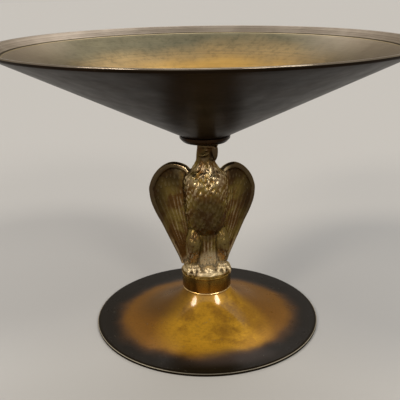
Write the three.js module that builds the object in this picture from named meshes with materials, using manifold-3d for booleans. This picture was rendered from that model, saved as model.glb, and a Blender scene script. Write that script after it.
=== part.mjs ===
// A bronze pedestal bowl: a shallow spun dish on a cast eagle, which stands on a drum and a spun foot.
// Millimetres, +Z up, origin at the middle of the foot's resting edge. The eagle faces -Y.
import * as THREE from 'three';
import { mergeVertices } from 'three/addons/utils/BufferGeometryUtils.js';
import Module from 'manifold-3d';

const wasm = await Module();
wasm.setup();

// Sheet and turned work
const BOWL_RADIUS = 108;
const BOWL_DEPTH = 49;
const BOWL_WALL = 1.6;
const BOWL_SEAT_RADIUS = 12;
const RIM_BAND_WIDTH = 6.2;
const RIM_BAND_STEP = 0.5;
const COLLAR_TOP_RADIUS = 13.6;
const COLLAR_BOTTOM_RADIUS = 11.8;
const COLLAR_HEIGHT = 3;
const DRUM_RADIUS = 14.1;
const DRUM_HEIGHT = 9;
const DRUM_LIP_HEIGHT = 0.8;
const DRUM_LIP_RELIEF = 0.35;
const BEAD_RADIUS = 13.2;
const BEAD_HEIGHT = 1.4;
const FOOT_RADIUS = 63;
const FOOT_HEIGHT = 19;
const FOOT_NECK_RADIUS = 12.6;
const FOOT_WALL = 1.4;
const FOOT_EDGE_HEIGHT = 1.8;
const FOOT_FLARE = 3.1;
const FOOT_EDGE_WIDTH = 2.2;

// Fasteners
const SCREW_RADIUS = 3;
const SCREW_HEAD_RADIUS = 5.2;
const SCREW_HEAD_HEIGHT = 2.6;
const SCREW_SLOT_WIDTH = 1.2;
const SCREW_SLOT_DEPTH = 1.1;
const SCREW_GRIP = 9;
const STUD_RADIUS = 3;
const STUD_GRIP = 9;
const STUD_TAIL = 2;
const WASHER_RADIUS = 8;
const WASHER_THICKNESS = 1.2;
const FOOT_WASHER_RADIUS = 9;
const NUT_ACROSS_FLATS = 10;
const NUT_HEIGHT = 5;
const RUNNING_GAP = 0.3;

// The eagle, measured up from the top of the drum
const FIGURE_HEIGHT = 74.7;
const MOUND_RADIUS = 13.3;
const MOUND_HEIGHT = 3.2;
const CORE_RADIUS = 5.4;
const CORE_HEIGHT = 19;
const BODY_HALF_WIDTH = 11.2;
const BODY_HALF_DEPTH = 10;
const BODY_BOTTOM = 17;
const SHOULDER_HEIGHT = 58.2;
const NECK_RADIUS = 5.6;
const HEAD_HALF_WIDTH = 5.1;
const HEAD_HALF_DEPTH = 6.2;
const HEAD_TURN = 38;
const BROW_AHEAD = 2.4;
const BROW_HEIGHT = 8;
const BEAK_REACH = 2.4;
const BEAK_DROP = 4.6;
const BEAK_RADIUS = 2.2;
const WING_REACH = 28;
const WING_TOP = 59.2;
const WING_WIDEST = 42.7;
const WING_ARCH_REACH = 15.5;
const WING_ROOT = 8;
const WING_TIP_REACH = 12;
const WING_TIP_HEIGHT = 2;
const WING_SWEEP = 9.5;
const WING_ROOT_DEPTH = 1.5;
const WING_HOLLOW = 3.2;
const WING_THICKNESS = 2.6;
const WING_EDGE_RADIUS = 2.3;
const FEATHERS_A_WING = 8;
const FEATHER_RELIEF = 0.75;
const THIGH_RADIUS = 3.8;
const SHANK_RADIUS = 2.1;
const LEG_SPACING = 7.2;
const LEG_FORWARD = 5.2;
const TOE_LENGTH = 5.8;
const TOE_RADIUS = 1.25;
const TOE_SPREAD = 34;
const TAIL_HALF_WIDTH = 7.5;
const TAIL_THICKNESS = 3.4;
const TAIL_DEPTH = 6;
const TAIL_TOP = 32;

// How finely the round shapes are cut
const ROUND_STEPS = 56;
const SMALL_STEPS = 20;
const BODY_SIDES = 24;
const CAST_TOLERANCE = 0.03;

// Heights of the seats, from the floor up
const FOOT_TOP = FOOT_HEIGHT;
const BEAD_TOP = FOOT_TOP + BEAD_HEIGHT;
const DRUM_TOP = BEAD_TOP + DRUM_HEIGHT;
const FIGURE_TOP = DRUM_TOP + FIGURE_HEIGHT;
const COLLAR_TOP = FIGURE_TOP + COLLAR_HEIGHT;
const BOWL_SEAT = COLLAR_TOP;
const BOWL_FLOOR = BOWL_SEAT + BOWL_WALL;
const BOWL_TOP = BOWL_SEAT + BOWL_DEPTH;
const FOOT_CEILING = FOOT_TOP - FOOT_WALL;
const FOOT_WASHER_BOTTOM = FOOT_CEILING - WASHER_THICKNESS;
const BOWL_SLOPE = (BOWL_DEPTH - BOWL_WALL) / (BOWL_RADIUS - BOWL_SEAT_RADIUS);

const bronze = (name, color, roughness) => {
  const material = new THREE.MeshStandardMaterial({ color, roughness, metalness: 1 });
  material.name = name;
  return material;
};
const DARK_PATINA = bronze('dark_patina', 0x3d3226, 0.35);
const GOLD_PATINA = bronze('gold_patina', 0x8a6428, 0.35);
const CAST_BRONZE = bronze('cast_bronze', 0x7a6236, 0.4);
const TURNED_BRONZE = bronze('turned_bronze', 0x7d5f22, 0.3);
const FASTENER_BRASS = bronze('fastener_brass', 0x9a7f42, 0.4);

const UP = new THREE.Vector3(0, 0, 1);
const model = new THREE.Group();

// Merges shared corners, drops slivers with no area and turns the faces outwards.
function weld(geometry) {
  const bare = geometry.clone();
  bare.deleteAttribute('normal');
  bare.deleteAttribute('uv');
  const merged = mergeVertices(bare, 1e-4);
  const index = merged.index.array;
  const position = merged.attributes.position;
  const a = new THREE.Vector3();
  const b = new THREE.Vector3();
  const c = new THREE.Vector3();
  const kept = [];
  let volume = 0;
  for (let i = 0; i < index.length; i += 3) {
    const [p, q, r] = [index[i], index[i + 1], index[i + 2]];
    if (p === q || q === r || r === p) continue;
    kept.push(p, q, r);
    a.fromBufferAttribute(position, p);
    b.fromBufferAttribute(position, q);
    c.fromBufferAttribute(position, r);
    volume += a.dot(b.cross(c));
  }
  if (volume < 0) {
    for (let i = 0; i < kept.length; i += 3) [kept[i], kept[i + 1]] = [kept[i + 1], kept[i]];
  }
  merged.setIndex(kept);
  return merged;
}

// A closed geometry as a solid that can be joined and cut.
function solid(geometry) {
  const merged = weld(geometry);
  return new wasm.Manifold(new wasm.Mesh({
    numProp: 3,
    vertProperties: new Float32Array(merged.attributes.position.array),
    triVerts: new Uint32Array(merged.index.array),
  }));
}

// A solid back as a geometry.
function shape(body) {
  const mesh = body.getMesh();
  const geometry = new THREE.BufferGeometry();
  geometry.setAttribute('position', new THREE.BufferAttribute(new Float32Array(mesh.vertProperties), 3));
  geometry.setIndex(new THREE.BufferAttribute(new Uint32Array(mesh.triVerts), 1));
  return geometry;
}

function addPiece(name, geometry, material) {
  const ready = geometry.index && !geometry.attributes.uv ? geometry : weld(geometry);
  ready.computeVertexNormals();
  const mesh = new THREE.Mesh(ready, material);
  mesh.name = name;
  model.add(mesh);
}

// A closed outline of [radius, height] points, turned about the Z axis.
function turned(outline, steps) {
  const points = [...outline, outline[0]].map(([radius, height]) => new THREE.Vector2(radius, height));
  return new THREE.LatheGeometry(points, steps).rotateX(Math.PI / 2);
}

// A plain round bar from one height to another.
function bar(radius, bottom, top, steps) {
  const geometry = new THREE.CylinderGeometry(radius, radius, top - bottom, steps);
  return geometry.rotateX(Math.PI / 2).translate(0, 0, (top + bottom) / 2);
}

// A skin over rings that each hold the same number of points, closed at both ends.
function loft(rings) {
  const count = rings[0].length;
  const positions = [];
  const index = [];
  for (const ring of rings) for (const point of ring) positions.push(point.x, point.y, point.z);
  for (let i = 0; i + 1 < rings.length; i += 1) {
    for (let j = 0; j < count; j += 1) {
      const k = (j + 1) % count;
      const [a, b, c, d] = [i * count + j, i * count + k, (i + 1) * count + k, (i + 1) * count + j];
      index.push(a, b, c, a, c, d);
    }
  }
  for (const [ring, flip] of [[0, true], [rings.length - 1, false]]) {
    const middle = rings[ring].reduce((sum, p) => sum.add(p), new THREE.Vector3()).divideScalar(count);
    const centre = positions.length / 3;
    positions.push(middle.x, middle.y, middle.z);
    for (let j = 0; j < count; j += 1) {
      const [a, b] = [ring * count + j, ring * count + ((j + 1) % count)];
      if (flip) index.push(centre, b, a);
      else index.push(centre, a, b);
    }
  }
  const geometry = new THREE.BufferGeometry();
  geometry.setAttribute('position', new THREE.Float32BufferAttribute(positions, 3));
  geometry.setIndex(index);
  return geometry;
}

// A sheet between a front and a back grid of points, with walls along its four edges.
function slab(front, back) {
  const rows = front.length;
  const columns = front[0].length;
  const positions = [];
  const index = [];
  const at = (layer, row, column) => layer * rows * columns + row * columns + column;
  const quad = (a, b, c, d) => index.push(a, b, c, a, c, d);
  for (const point of [front, back].flat(2)) positions.push(point.x, point.y, point.z);
  for (let i = 0; i + 1 < rows; i += 1) {
    for (let j = 0; j + 1 < columns; j += 1) {
      quad(at(0, i, j), at(0, i + 1, j), at(0, i + 1, j + 1), at(0, i, j + 1));
      quad(at(1, i, j), at(1, i, j + 1), at(1, i + 1, j + 1), at(1, i + 1, j));
    }
    const last = columns - 1;
    quad(at(0, i, 0), at(1, i, 0), at(1, i + 1, 0), at(0, i + 1, 0));
    quad(at(0, i, last), at(0, i + 1, last), at(1, i + 1, last), at(1, i, last));
  }
  for (let j = 0; j + 1 < columns; j += 1) {
    const last = rows - 1;
    quad(at(0, 0, j), at(0, 0, j + 1), at(1, 0, j + 1), at(1, 0, j));
    quad(at(0, last, j), at(1, last, j), at(1, last, j + 1), at(0, last, j + 1));
  }
  const geometry = new THREE.BufferGeometry();
  geometry.setAttribute('position', new THREE.Float32BufferAttribute(positions, 3));
  geometry.setIndex(index);
  return geometry;
}

// A level ring of an oval, with its front flattened or swelled by the depth ahead of its centre.
function oval(x, y, z, halfWidth, front, back, sides = BODY_SIDES) {
  const ring = [];
  for (let i = 0; i < sides; i += 1) {
    const angle = (2 * Math.PI * i) / sides;
    const depth = Math.sin(angle) < 0 ? front : back;
    ring.push(new THREE.Vector3(x + halfWidth * Math.cos(angle), y + depth * Math.sin(angle), z));
  }
  return ring;
}

// A round limb through the given points, with its radius at even stations and its path square to the axis.
function limb(points, radii, steps, sides, axis) {
  const path = new THREE.CatmullRomCurve3(points);
  const rings = [];
  for (let i = 0; i <= steps; i += 1) {
    const t = i / steps;
    const at = t * (radii.length - 1);
    const low = Math.min(Math.floor(at), radii.length - 2);
    const radius = THREE.MathUtils.lerp(radii[low], radii[low + 1], at - low);
    const centre = path.getPoint(t);
    const along = path.getTangent(t);
    const side = axis.clone().addScaledVector(along, -axis.dot(along)).normalize();
    const up = along.clone().cross(side).normalize();
    const ring = [];
    for (let j = 0; j < sides; j += 1) {
      const angle = (2 * Math.PI * j) / sides;
      ring.push(centre.clone()
        .addScaledVector(side, radius * Math.cos(angle))
        .addScaledVector(up, radius * Math.sin(angle)));
    }
    rings.push(ring);
  }
  return loft(rings);
}

// The dish: a cone of sheet with a stepped band inside its rim and a flat seat with a screw hole.
function bowl() {
  const bandInner = BOWL_RADIUS - BOWL_WALL - RIM_BAND_WIDTH;
  const wallOver = BOWL_WALL * Math.hypot(1, BOWL_SLOPE);
  const inside = (radius) => BOWL_SEAT + wallOver + (radius - BOWL_SEAT_RADIUS) * BOWL_SLOPE;
  const hole = SCREW_RADIUS + RUNNING_GAP;
  const floorRadius = BOWL_SEAT_RADIUS - (wallOver - BOWL_WALL) / BOWL_SLOPE;
  return turned([
    [hole, BOWL_SEAT],
    [BOWL_SEAT_RADIUS, BOWL_SEAT],
    [BOWL_RADIUS, BOWL_TOP - BOWL_WALL],
    [BOWL_RADIUS, BOWL_TOP],
    [BOWL_RADIUS - BOWL_WALL, BOWL_TOP],
    [bandInner, inside(bandInner) - RIM_BAND_STEP],
    [bandInner - RIM_BAND_STEP, inside(bandInner - RIM_BAND_STEP)],
    [floorRadius, BOWL_FLOOR],
    [WASHER_RADIUS + RUNNING_GAP, BOWL_FLOOR],
    [hole, BOWL_FLOOR],
  ], ROUND_STEPS);
}

// The turned seat between the dish and the eagle's head. Its lip follows the dish up past the flat seat.
function collar() {
  const hole = SCREW_RADIUS + RUNNING_GAP;
  const lip = COLLAR_TOP + (COLLAR_TOP_RADIUS - BOWL_SEAT_RADIUS) * BOWL_SLOPE - RUNNING_GAP;
  return turned([
    [hole, FIGURE_TOP],
    [COLLAR_BOTTOM_RADIUS, FIGURE_TOP],
    [COLLAR_TOP_RADIUS, lip - COLLAR_HEIGHT / 2],
    [COLLAR_TOP_RADIUS, lip],
    [BOWL_SEAT_RADIUS, COLLAR_TOP],
    [hole, COLLAR_TOP],
  ], ROUND_STEPS);
}

// The drum under the eagle, with a lip standing proud of a shallow relief.
function drum() {
  const hole = STUD_RADIUS + RUNNING_GAP;
  const lip = DRUM_TOP - DRUM_LIP_HEIGHT;
  return turned([
    [hole, BEAD_TOP],
    [DRUM_RADIUS - DRUM_LIP_RELIEF, BEAD_TOP],
    [DRUM_RADIUS - DRUM_LIP_RELIEF, lip - DRUM_LIP_RELIEF],
    [DRUM_RADIUS, lip],
    [DRUM_RADIUS, DRUM_TOP],
    [hole, DRUM_TOP],
  ], ROUND_STEPS);
}

// The thin bead between the drum and the foot.
function bead() {
  const hole = STUD_RADIUS + RUNNING_GAP;
  const half = BEAD_HEIGHT / 2;
  return turned([
    [hole, FOOT_TOP],
    [BEAD_RADIUS - half, FOOT_TOP],
    [BEAD_RADIUS, FOOT_TOP + half],
    [BEAD_RADIUS - half, BEAD_TOP],
    [hole, BEAD_TOP],
  ], ROUND_STEPS);
}

// The spun foot: a trumpet of sheet with a turned-down edge.
function foot() {
  const hole = STUD_RADIUS + RUNNING_GAP;
  const steps = 11;
  const flare = (radius, neck) => {
    const share = (FOOT_RADIUS - radius) / (FOOT_RADIUS - neck);
    return FOOT_EDGE_HEIGHT + (FOOT_TOP - FOOT_EDGE_HEIGHT) * share ** FOOT_FLARE;
  };
  const outer = [];
  const inner = [];
  for (let i = 0; i <= steps; i += 1) {
    const share = (i / steps) ** 1.8;
    const radius = FOOT_NECK_RADIUS + (FOOT_RADIUS - FOOT_NECK_RADIUS) * share;
    const height = flare(radius, FOOT_NECK_RADIUS);
    outer.push([radius, height]);
    const slope = Math.abs(flare(radius + 0.01, FOOT_NECK_RADIUS) - height) / 0.01;
    const lean = Math.hypot(1, slope);
    inner.push([radius - (FOOT_WALL * slope) / lean, height - FOOT_WALL / lean]);
  }
  const wall = inner.filter(([radius, height]) => (
    radius > hole + FOOT_WALL && height < FOOT_CEILING && radius < FOOT_RADIUS - FOOT_EDGE_WIDTH));
  return turned([
    [hole, FOOT_TOP],
    ...outer,
    [FOOT_RADIUS, 0],
    [FOOT_RADIUS - FOOT_EDGE_WIDTH, 0],
    ...wall.reverse(),
    [wall[wall.length - 1][0], FOOT_CEILING],
    [hole, FOOT_CEILING],
  ], ROUND_STEPS);
}

// A flat washer with its hole clear of the bolt.
function washer(radius, bolt, bottom) {
  return turned([
    [bolt + RUNNING_GAP, bottom],
    [radius, bottom],
    [radius, bottom + WASHER_THICKNESS],
    [bolt + RUNNING_GAP, bottom + WASHER_THICKNESS],
  ], SMALL_STEPS);
}

// The screw that holds the dish: a slotted round head on a shank that ends in the eagle's head.
function bowlScrew() {
  const seat = BOWL_FLOOR + WASHER_THICKNESS;
  const crown = seat + SCREW_HEAD_HEIGHT;
  const body = turned([
    [0, FIGURE_TOP - SCREW_GRIP],
    [SCREW_RADIUS, FIGURE_TOP - SCREW_GRIP],
    [SCREW_RADIUS, seat],
    [SCREW_HEAD_RADIUS, seat],
    [SCREW_HEAD_RADIUS, seat + SCREW_HEAD_HEIGHT * 0.4],
    [SCREW_HEAD_RADIUS * 0.72, crown - SCREW_HEAD_HEIGHT * 0.15],
    [0, crown],
  ], SMALL_STEPS);
  const slot = new THREE.BoxGeometry(SCREW_HEAD_RADIUS * 3, SCREW_SLOT_WIDTH, SCREW_SLOT_DEPTH * 2);
  slot.translate(0, 0, crown);
  return shape(solid(body).subtract(solid(slot)));
}

// The stud that draws the foot, the bead and the drum up to the eagle.
function footStud() {
  const bottom = FOOT_WASHER_BOTTOM - NUT_HEIGHT - STUD_TAIL;
  return bar(STUD_RADIUS, bottom, DRUM_TOP + STUD_GRIP, SMALL_STEPS);
}

function nut() {
  const top = FOOT_WASHER_BOTTOM;
  const corner = NUT_ACROSS_FLATS / 2 / Math.cos(Math.PI / 6);
  const hex = bar(corner, top - NUT_HEIGHT, top, 6);
  const hole = bar(STUD_RADIUS + RUNNING_GAP, top - NUT_HEIGHT - 1, top + 1, SMALL_STEPS);
  return shape(solid(hex).subtract(solid(hole)));
}

// The eagle's trunk, from the belly up through the neck to the flat crown under the collar.
function trunk() {
  const w = BODY_HALF_WIDTH;
  const d = BODY_HALF_DEPTH;
  const chest = SHOULDER_HEIGHT - BODY_BOTTOM;
  const at = (share, x, y, halfWidth, front, back) => (
    oval(x, y, DRUM_TOP + BODY_BOTTOM + chest * share, halfWidth, front, back));
  const neck = DRUM_TOP + SHOULDER_HEIGHT;
  const head = FIGURE_TOP - neck;
  return loft([
    at(0, 0, 0, w * 0.35, d * 0.35, d * 0.3),
    at(0.05, 0, 0, w * 0.62, d * 0.62, d * 0.5),
    at(0.16, 0, 0, w * 0.84, d * 0.9, d * 0.62),
    at(0.32, 0, 0, w * 0.96, d * 1.1, d * 0.7),
    at(0.52, 0, 0, w, d * 1.2, d * 0.72),
    at(0.7, 0, 0, w * 0.97, d * 1.15, d * 0.7),
    at(0.85, 0, 0, w * 0.86, d * 0.98, d * 0.66),
    at(1, 0, 0, w * 0.68, d * 0.78, d * 0.62),
    oval(0, 0, neck + head * 0.22, NECK_RADIUS, NECK_RADIUS * 1.05, NECK_RADIUS * 1.05),
    oval(0, 0, neck + head * 0.45, HEAD_HALF_WIDTH * 0.97, HEAD_HALF_DEPTH * 0.92, HEAD_HALF_DEPTH * 0.85),
    oval(0, 0, neck + head * 0.72, HEAD_HALF_WIDTH, HEAD_HALF_DEPTH, HEAD_HALF_DEPTH * 0.9),
    oval(0, 0, neck + head * 0.92, HEAD_HALF_WIDTH * 0.96, HEAD_HALF_DEPTH * 0.9, HEAD_HALF_DEPTH * 0.86),
    oval(0, 0, FIGURE_TOP, HEAD_HALF_WIDTH * 0.9, HEAD_HALF_DEPTH * 0.82, HEAD_HALF_DEPTH * 0.8),
  ]);
}

// The brow and the crown of the head, reaching ahead over the face and turned with the head.
function brow() {
  const cap = (share, ahead, size) => oval(
    0, -BROW_AHEAD * ahead, FIGURE_TOP - BROW_HEIGHT * (1 - share),
    HEAD_HALF_WIDTH * size, HEAD_HALF_DEPTH * size, HEAD_HALF_DEPTH * size);
  const rings = [cap(0, 0, 0.6), cap(0.25, 0.4, 0.8), cap(0.55, 0.8, 0.94), cap(0.85, 1, 1), cap(1, 1, 0.97)];
  return loft(rings).rotateZ(THREE.MathUtils.degToRad(HEAD_TURN));
}

// The hooked beak, turned with the head to the eagle's left.
function beak() {
  const turn = THREE.MathUtils.degToRad(HEAD_TURN);
  const out = (reach, z) => new THREE.Vector3(Math.sin(turn) * reach, -Math.cos(turn) * reach, z);
  const root = FIGURE_TOP - 4.4;
  const face = HEAD_HALF_DEPTH;
  return limb([
    out(face - 3, root + 0.8),
    out(face + BEAK_REACH * 0.35, root + 0.6),
    out(face + BEAK_REACH * 0.9, root - BEAK_DROP * 0.3),
    out(face + BEAK_REACH * 0.75, root - BEAK_DROP * 0.9),
  ], [BEAK_RADIUS, BEAK_RADIUS, BEAK_RADIUS * 0.72, 0.35], 8, 10, out(1, 0).cross(UP));
}

// A point on the wing's skin. Across runs from the body to the outer edge, down from the arch to the tip.
function wingPoint(across, down) {
  const bend = Math.PI * (1 - across);
  const archReach = across < 0.5
    ? WING_ARCH_REACH + (WING_ARCH_REACH - WING_ROOT) * Math.cos(bend)
    : WING_ARCH_REACH + (WING_REACH - WING_ARCH_REACH) * Math.cos(bend);
  const archDrop = across < 0.5 ? WING_TOP - SHOULDER_HEIGHT + 4 : WING_TOP - WING_WIDEST;
  const archHeight = WING_TOP - archDrop * (1 - Math.sin(bend));
  const tipReach = THREE.MathUtils.lerp(WING_ROOT - 1, WING_TIP_REACH, across);
  const curve = new THREE.QuadraticBezierCurve(
    new THREE.Vector2(archReach, archHeight),
    new THREE.Vector2(archReach, archHeight - (archHeight - WING_TIP_HEIGHT) * 0.22),
    new THREE.Vector2(tipReach, WING_TIP_HEIGHT),
  );
  const spot = curve.getPoint(down);
  const sweep = WING_SWEEP * across * (1 - 0.45 * down);
  const hollow = WING_HOLLOW * Math.sin(Math.PI * across) * (1 - down * 0.6);
  return new THREE.Vector3(spot.x, WING_ROOT_DEPTH + sweep + hollow, DRUM_TOP + spot.y);
}

// One wing: a feathered sheet whose front and back are ribbed by its long feathers.
function wingSheet() {
  const across = FEATHERS_A_WING * 3;
  const downs = 16;
  const fronts = [];
  const backs = [];
  for (let j = 0; j <= downs; j += 1) {
    const down = j / downs;
    const front = [];
    const back = [];
    for (let i = 0; i <= across; i += 1) {
      const share = i / across;
      const spot = wingPoint(share, down);
      const lie = (share * FEATHERS_A_WING) % 1;
      const relief = FEATHER_RELIEF * (1 - lie) * Math.min(1, down * 4) * (i < across ? 1 : 0);
      front.push(spot.clone().add(new THREE.Vector3(0, -relief, 0)));
      back.push(spot.clone().add(new THREE.Vector3(0, WING_THICKNESS * (1 - 0.4 * down) + relief, 0)));
    }
    fronts.push(front);
    backs.push(back);
  }
  return slab(fronts, backs);
}

// The rolled leading edge that frames the wing from the shoulder to the tip.
function wingEdge() {
  const points = [];
  for (let i = 0; i <= 10; i += 1) points.push(wingPoint(i / 10, 0));
  for (let i = 1; i <= 6; i += 1) points.push(wingPoint(1, i / 6));
  for (const point of points) point.y += WING_THICKNESS / 2 - 0.8;
  const r = WING_EDGE_RADIUS;
  const radii = [r * 0.8, r, r, r * 0.95, r * 0.7, r * 0.5, r * 0.35];
  return limb(points, radii, 40, 10, new THREE.Vector3(0, 1, 0));
}

function leg(side) {
  const x = side * LEG_SPACING;
  const y = -LEG_FORWARD;
  const top = DRUM_TOP + BODY_BOTTOM + 9;
  const ankle = DRUM_TOP + MOUND_HEIGHT;
  return limb([
    new THREE.Vector3(x * 0.75, y + 2.2, top),
    new THREE.Vector3(x * 0.92, y + 0.2, top - (top - ankle) * 0.35),
    new THREE.Vector3(x, y, top - (top - ankle) * 0.75),
    new THREE.Vector3(x, y - 0.6, ankle - 0.6),
  ], [THIGH_RADIUS, THIGH_RADIUS, SHANK_RADIUS * 1.15, SHANK_RADIUS], 9, 12, new THREE.Vector3(1, 0, 0));
}

function toe(side, turn) {
  const angle = THREE.MathUtils.degToRad(turn);
  const x = side * LEG_SPACING;
  const y = -LEG_FORWARD - 0.6;
  const z = DRUM_TOP + MOUND_HEIGHT;
  const out = (reach, height) => (
    new THREE.Vector3(x + Math.sin(angle) * reach, y - Math.cos(angle) * reach, height));
  const low = DRUM_TOP + TOE_RADIUS * 0.75;
  const across = new THREE.Vector3(Math.cos(angle), Math.sin(angle), 0);
  return limb([
    out(0, z + 0.4),
    out(TOE_LENGTH * 0.4, z + 0.7),
    out(TOE_LENGTH * 0.8, z - 0.1),
    out(TOE_LENGTH, low),
  ], [TOE_RADIUS * 1.2, TOE_RADIUS * 1.1, TOE_RADIUS * 0.9, TOE_RADIUS * 0.3], 7, 8, across);
}

// The tail hangs behind the legs down to the drum.
function tail() {
  const rings = [];
  const steps = 6;
  for (let i = 0; i <= steps; i += 1) {
    const share = i / steps;
    const z = DRUM_TOP + TAIL_TOP * (1 - share) + 0.2;
    const width = TAIL_HALF_WIDTH * (0.75 + 0.25 * share);
    rings.push(oval(0, TAIL_DEPTH - 2.5 * (1 - share), z, width, TAIL_THICKNESS / 2, TAIL_THICKNESS / 2, 20));
  }
  return loft(rings);
}

// The mound that the eagle grips, with a core between the legs that takes the stud.
function mound() {
  return turned([
    [0, DRUM_TOP],
    [MOUND_RADIUS, DRUM_TOP],
    [MOUND_RADIUS * 0.97, DRUM_TOP + MOUND_HEIGHT * 0.5],
    [MOUND_RADIUS * 0.8, DRUM_TOP + MOUND_HEIGHT],
    [CORE_RADIUS, DRUM_TOP + MOUND_HEIGHT * 1.2],
    [CORE_RADIUS * 0.95, DRUM_TOP + CORE_HEIGHT * 0.8],
    [CORE_RADIUS * 0.6, DRUM_TOP + CORE_HEIGHT],
    [0, DRUM_TOP + CORE_HEIGHT],
  ], 40);
}

// Everything of the eagle above the drum, joined as one casting with a blind hole at each end.
function eagle() {
  let body = solid(trunk()).add(solid(mound())).add(solid(brow())).add(solid(beak())).add(solid(tail()));
  for (const side of [-1, 1]) {
    const wing = solid(wingSheet()).add(solid(wingEdge()));
    body = body.add(side < 0 ? wing.mirror([1, 0, 0]) : wing);
    body = body.add(solid(leg(side)));
    for (const turn of [-TOE_SPREAD, 0, TOE_SPREAD]) body = body.add(solid(toe(side, turn)));
    body = body.add(solid(toe(side, 180)));
  }
  const screwHole = bar(SCREW_RADIUS + RUNNING_GAP, FIGURE_TOP - SCREW_GRIP - 1, FIGURE_TOP + 1, SMALL_STEPS);
  const studHole = bar(STUD_RADIUS + RUNNING_GAP, DRUM_TOP - 1, DRUM_TOP + STUD_GRIP + 1, SMALL_STEPS);
  const under = bar(WING_REACH * 2, DRUM_TOP - 20, DRUM_TOP, 8);
  const cast = body.subtract(solid(screwHole)).subtract(solid(studHole)).subtract(solid(under));
  return shape(cast.asOriginal().simplify(CAST_TOLERANCE));
}

addPiece('bowl', bowl(), DARK_PATINA);
addPiece('bowl_washer', washer(WASHER_RADIUS, SCREW_RADIUS, BOWL_FLOOR), FASTENER_BRASS);
addPiece('bowl_screw', bowlScrew(), FASTENER_BRASS);
addPiece('bowl_collar', collar(), DARK_PATINA);
addPiece('eagle_figure', eagle(), CAST_BRONZE);
addPiece('perch_drum', drum(), TURNED_BRONZE);
addPiece('neck_bead', bead(), TURNED_BRONZE);
addPiece('foot', foot(), GOLD_PATINA);
addPiece('foot_washer', washer(FOOT_WASHER_RADIUS, STUD_RADIUS, FOOT_WASHER_BOTTOM), FASTENER_BRASS);
addPiece('foot_nut', nut(), FASTENER_BRASS);
addPiece('foot_stud', footStud(), FASTENER_BRASS);

export default model;
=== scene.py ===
"""A patinated bronze pedestal bowl: a spun dish carried by a cast eagle on a drum and a spun foot.

All sizes are in millimetres and become metres where a mesh is made. Z is up, the foot rests at height 0 and the eagle
faces -Y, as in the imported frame.
"""

import logging
import math
from dataclasses import dataclass
from enum import Enum

import bmesh
import bpy
import numpy as np
from mathutils import Matrix, Vector


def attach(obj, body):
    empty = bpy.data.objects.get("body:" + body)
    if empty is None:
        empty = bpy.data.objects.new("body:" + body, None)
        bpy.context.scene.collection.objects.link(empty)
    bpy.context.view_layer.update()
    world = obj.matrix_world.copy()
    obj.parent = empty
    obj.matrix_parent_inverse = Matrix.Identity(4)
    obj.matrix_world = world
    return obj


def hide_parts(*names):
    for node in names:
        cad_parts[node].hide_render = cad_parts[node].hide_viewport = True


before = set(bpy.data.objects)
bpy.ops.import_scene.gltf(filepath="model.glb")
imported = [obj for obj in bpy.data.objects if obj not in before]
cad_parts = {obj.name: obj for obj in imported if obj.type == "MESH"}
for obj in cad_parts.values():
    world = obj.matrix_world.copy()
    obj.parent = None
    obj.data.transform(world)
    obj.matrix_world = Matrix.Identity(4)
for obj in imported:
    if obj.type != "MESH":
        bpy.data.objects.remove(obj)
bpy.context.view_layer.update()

MM = 0.001
BODY = "root"
AXIS = (1.0, 1.0, math.inf)
LOG = logging.getLogger("pedestal_bowl")

Links = dict[str | int, bpy.types.NodeSocket]
Settings = dict[str | int, object]


class Slot(Enum):
    """The record's material slots."""

    DARK = "dark_patina"
    GOLD = "gold_patina"
    CAST = "cast_bronze"
    TURNED = "turned_bronze"
    FASTENER = "fastener_brass"


# Shapes


@dataclass
class Shell:
    """A closed surface: its corner points in millimetres and its faces as rows of corner numbers."""

    points: np.ndarray
    faces: list[np.ndarray]

    def outward(self) -> "Shell":
        """Return the shell with its faces turned outwards, judged by the sign of the volume they enclose."""
        volume = 0.0
        for faces in self.faces:
            corners = self.points[faces]
            for k in range(1, faces.shape[1] - 1):
                cross = np.cross(corners[:, k], corners[:, k + 1])
                volume += float(np.einsum("ij,ij->", corners[:, 0], cross))
        return self if volume > 0 else Shell(self.points, [faces[:, ::-1] for faces in self.faces])

    def mirrored(self) -> "Shell":
        """Return a copy on the other side of the YZ plane, with its faces still turned outwards."""
        return Shell(self.points * (-1, 1, 1), [faces[:, ::-1] for faces in self.faces])


def grid_faces(rows: int, columns: int, wrap_rows: bool, wrap_columns: bool) -> np.ndarray:
    """Number the four-sided faces of a grid of points.

    Args:
        rows: How many rows of points there are.
        columns: How many points a row holds.
        wrap_rows: Whether the last row joins the first.
        wrap_columns: Whether the last point of a row joins its first.

    Returns:
        One row of four corner numbers for each face.
    """
    i = np.arange(rows if wrap_rows else rows - 1)[:, None]
    j = np.arange(columns if wrap_columns else columns - 1)[None, :]
    below, beside = (i + 1) % rows, (j + 1) % columns
    corners = (i * columns + j, below * columns + j, below * columns + beside, i * columns + beside)
    return np.stack([np.broadcast_to(c, (i.size, j.size)).ravel() for c in corners], axis=1)


def tube(rings: np.ndarray) -> Shell:
    """Skin a row of rings and close each end with a fan to its middle.

    Args:
        rings: Points as (ring, place round it, xyz).

    Returns:
        The closed skin.
    """
    count, around = rings.shape[:2]
    points = np.concatenate([rings.reshape(-1, 3), rings[:1].mean(axis=1), rings[-1:].mean(axis=1)])
    here = np.arange(around)
    after = (here + 1) % around
    start = np.stack([np.full(around, count * around), after, here], axis=1)
    last = (count - 1) * around
    end = np.stack([np.full(around, count * around + 1), last + here, last + after], axis=1)
    return Shell(points, [grid_faces(count, around, False, True), start, end]).outward()


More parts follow.
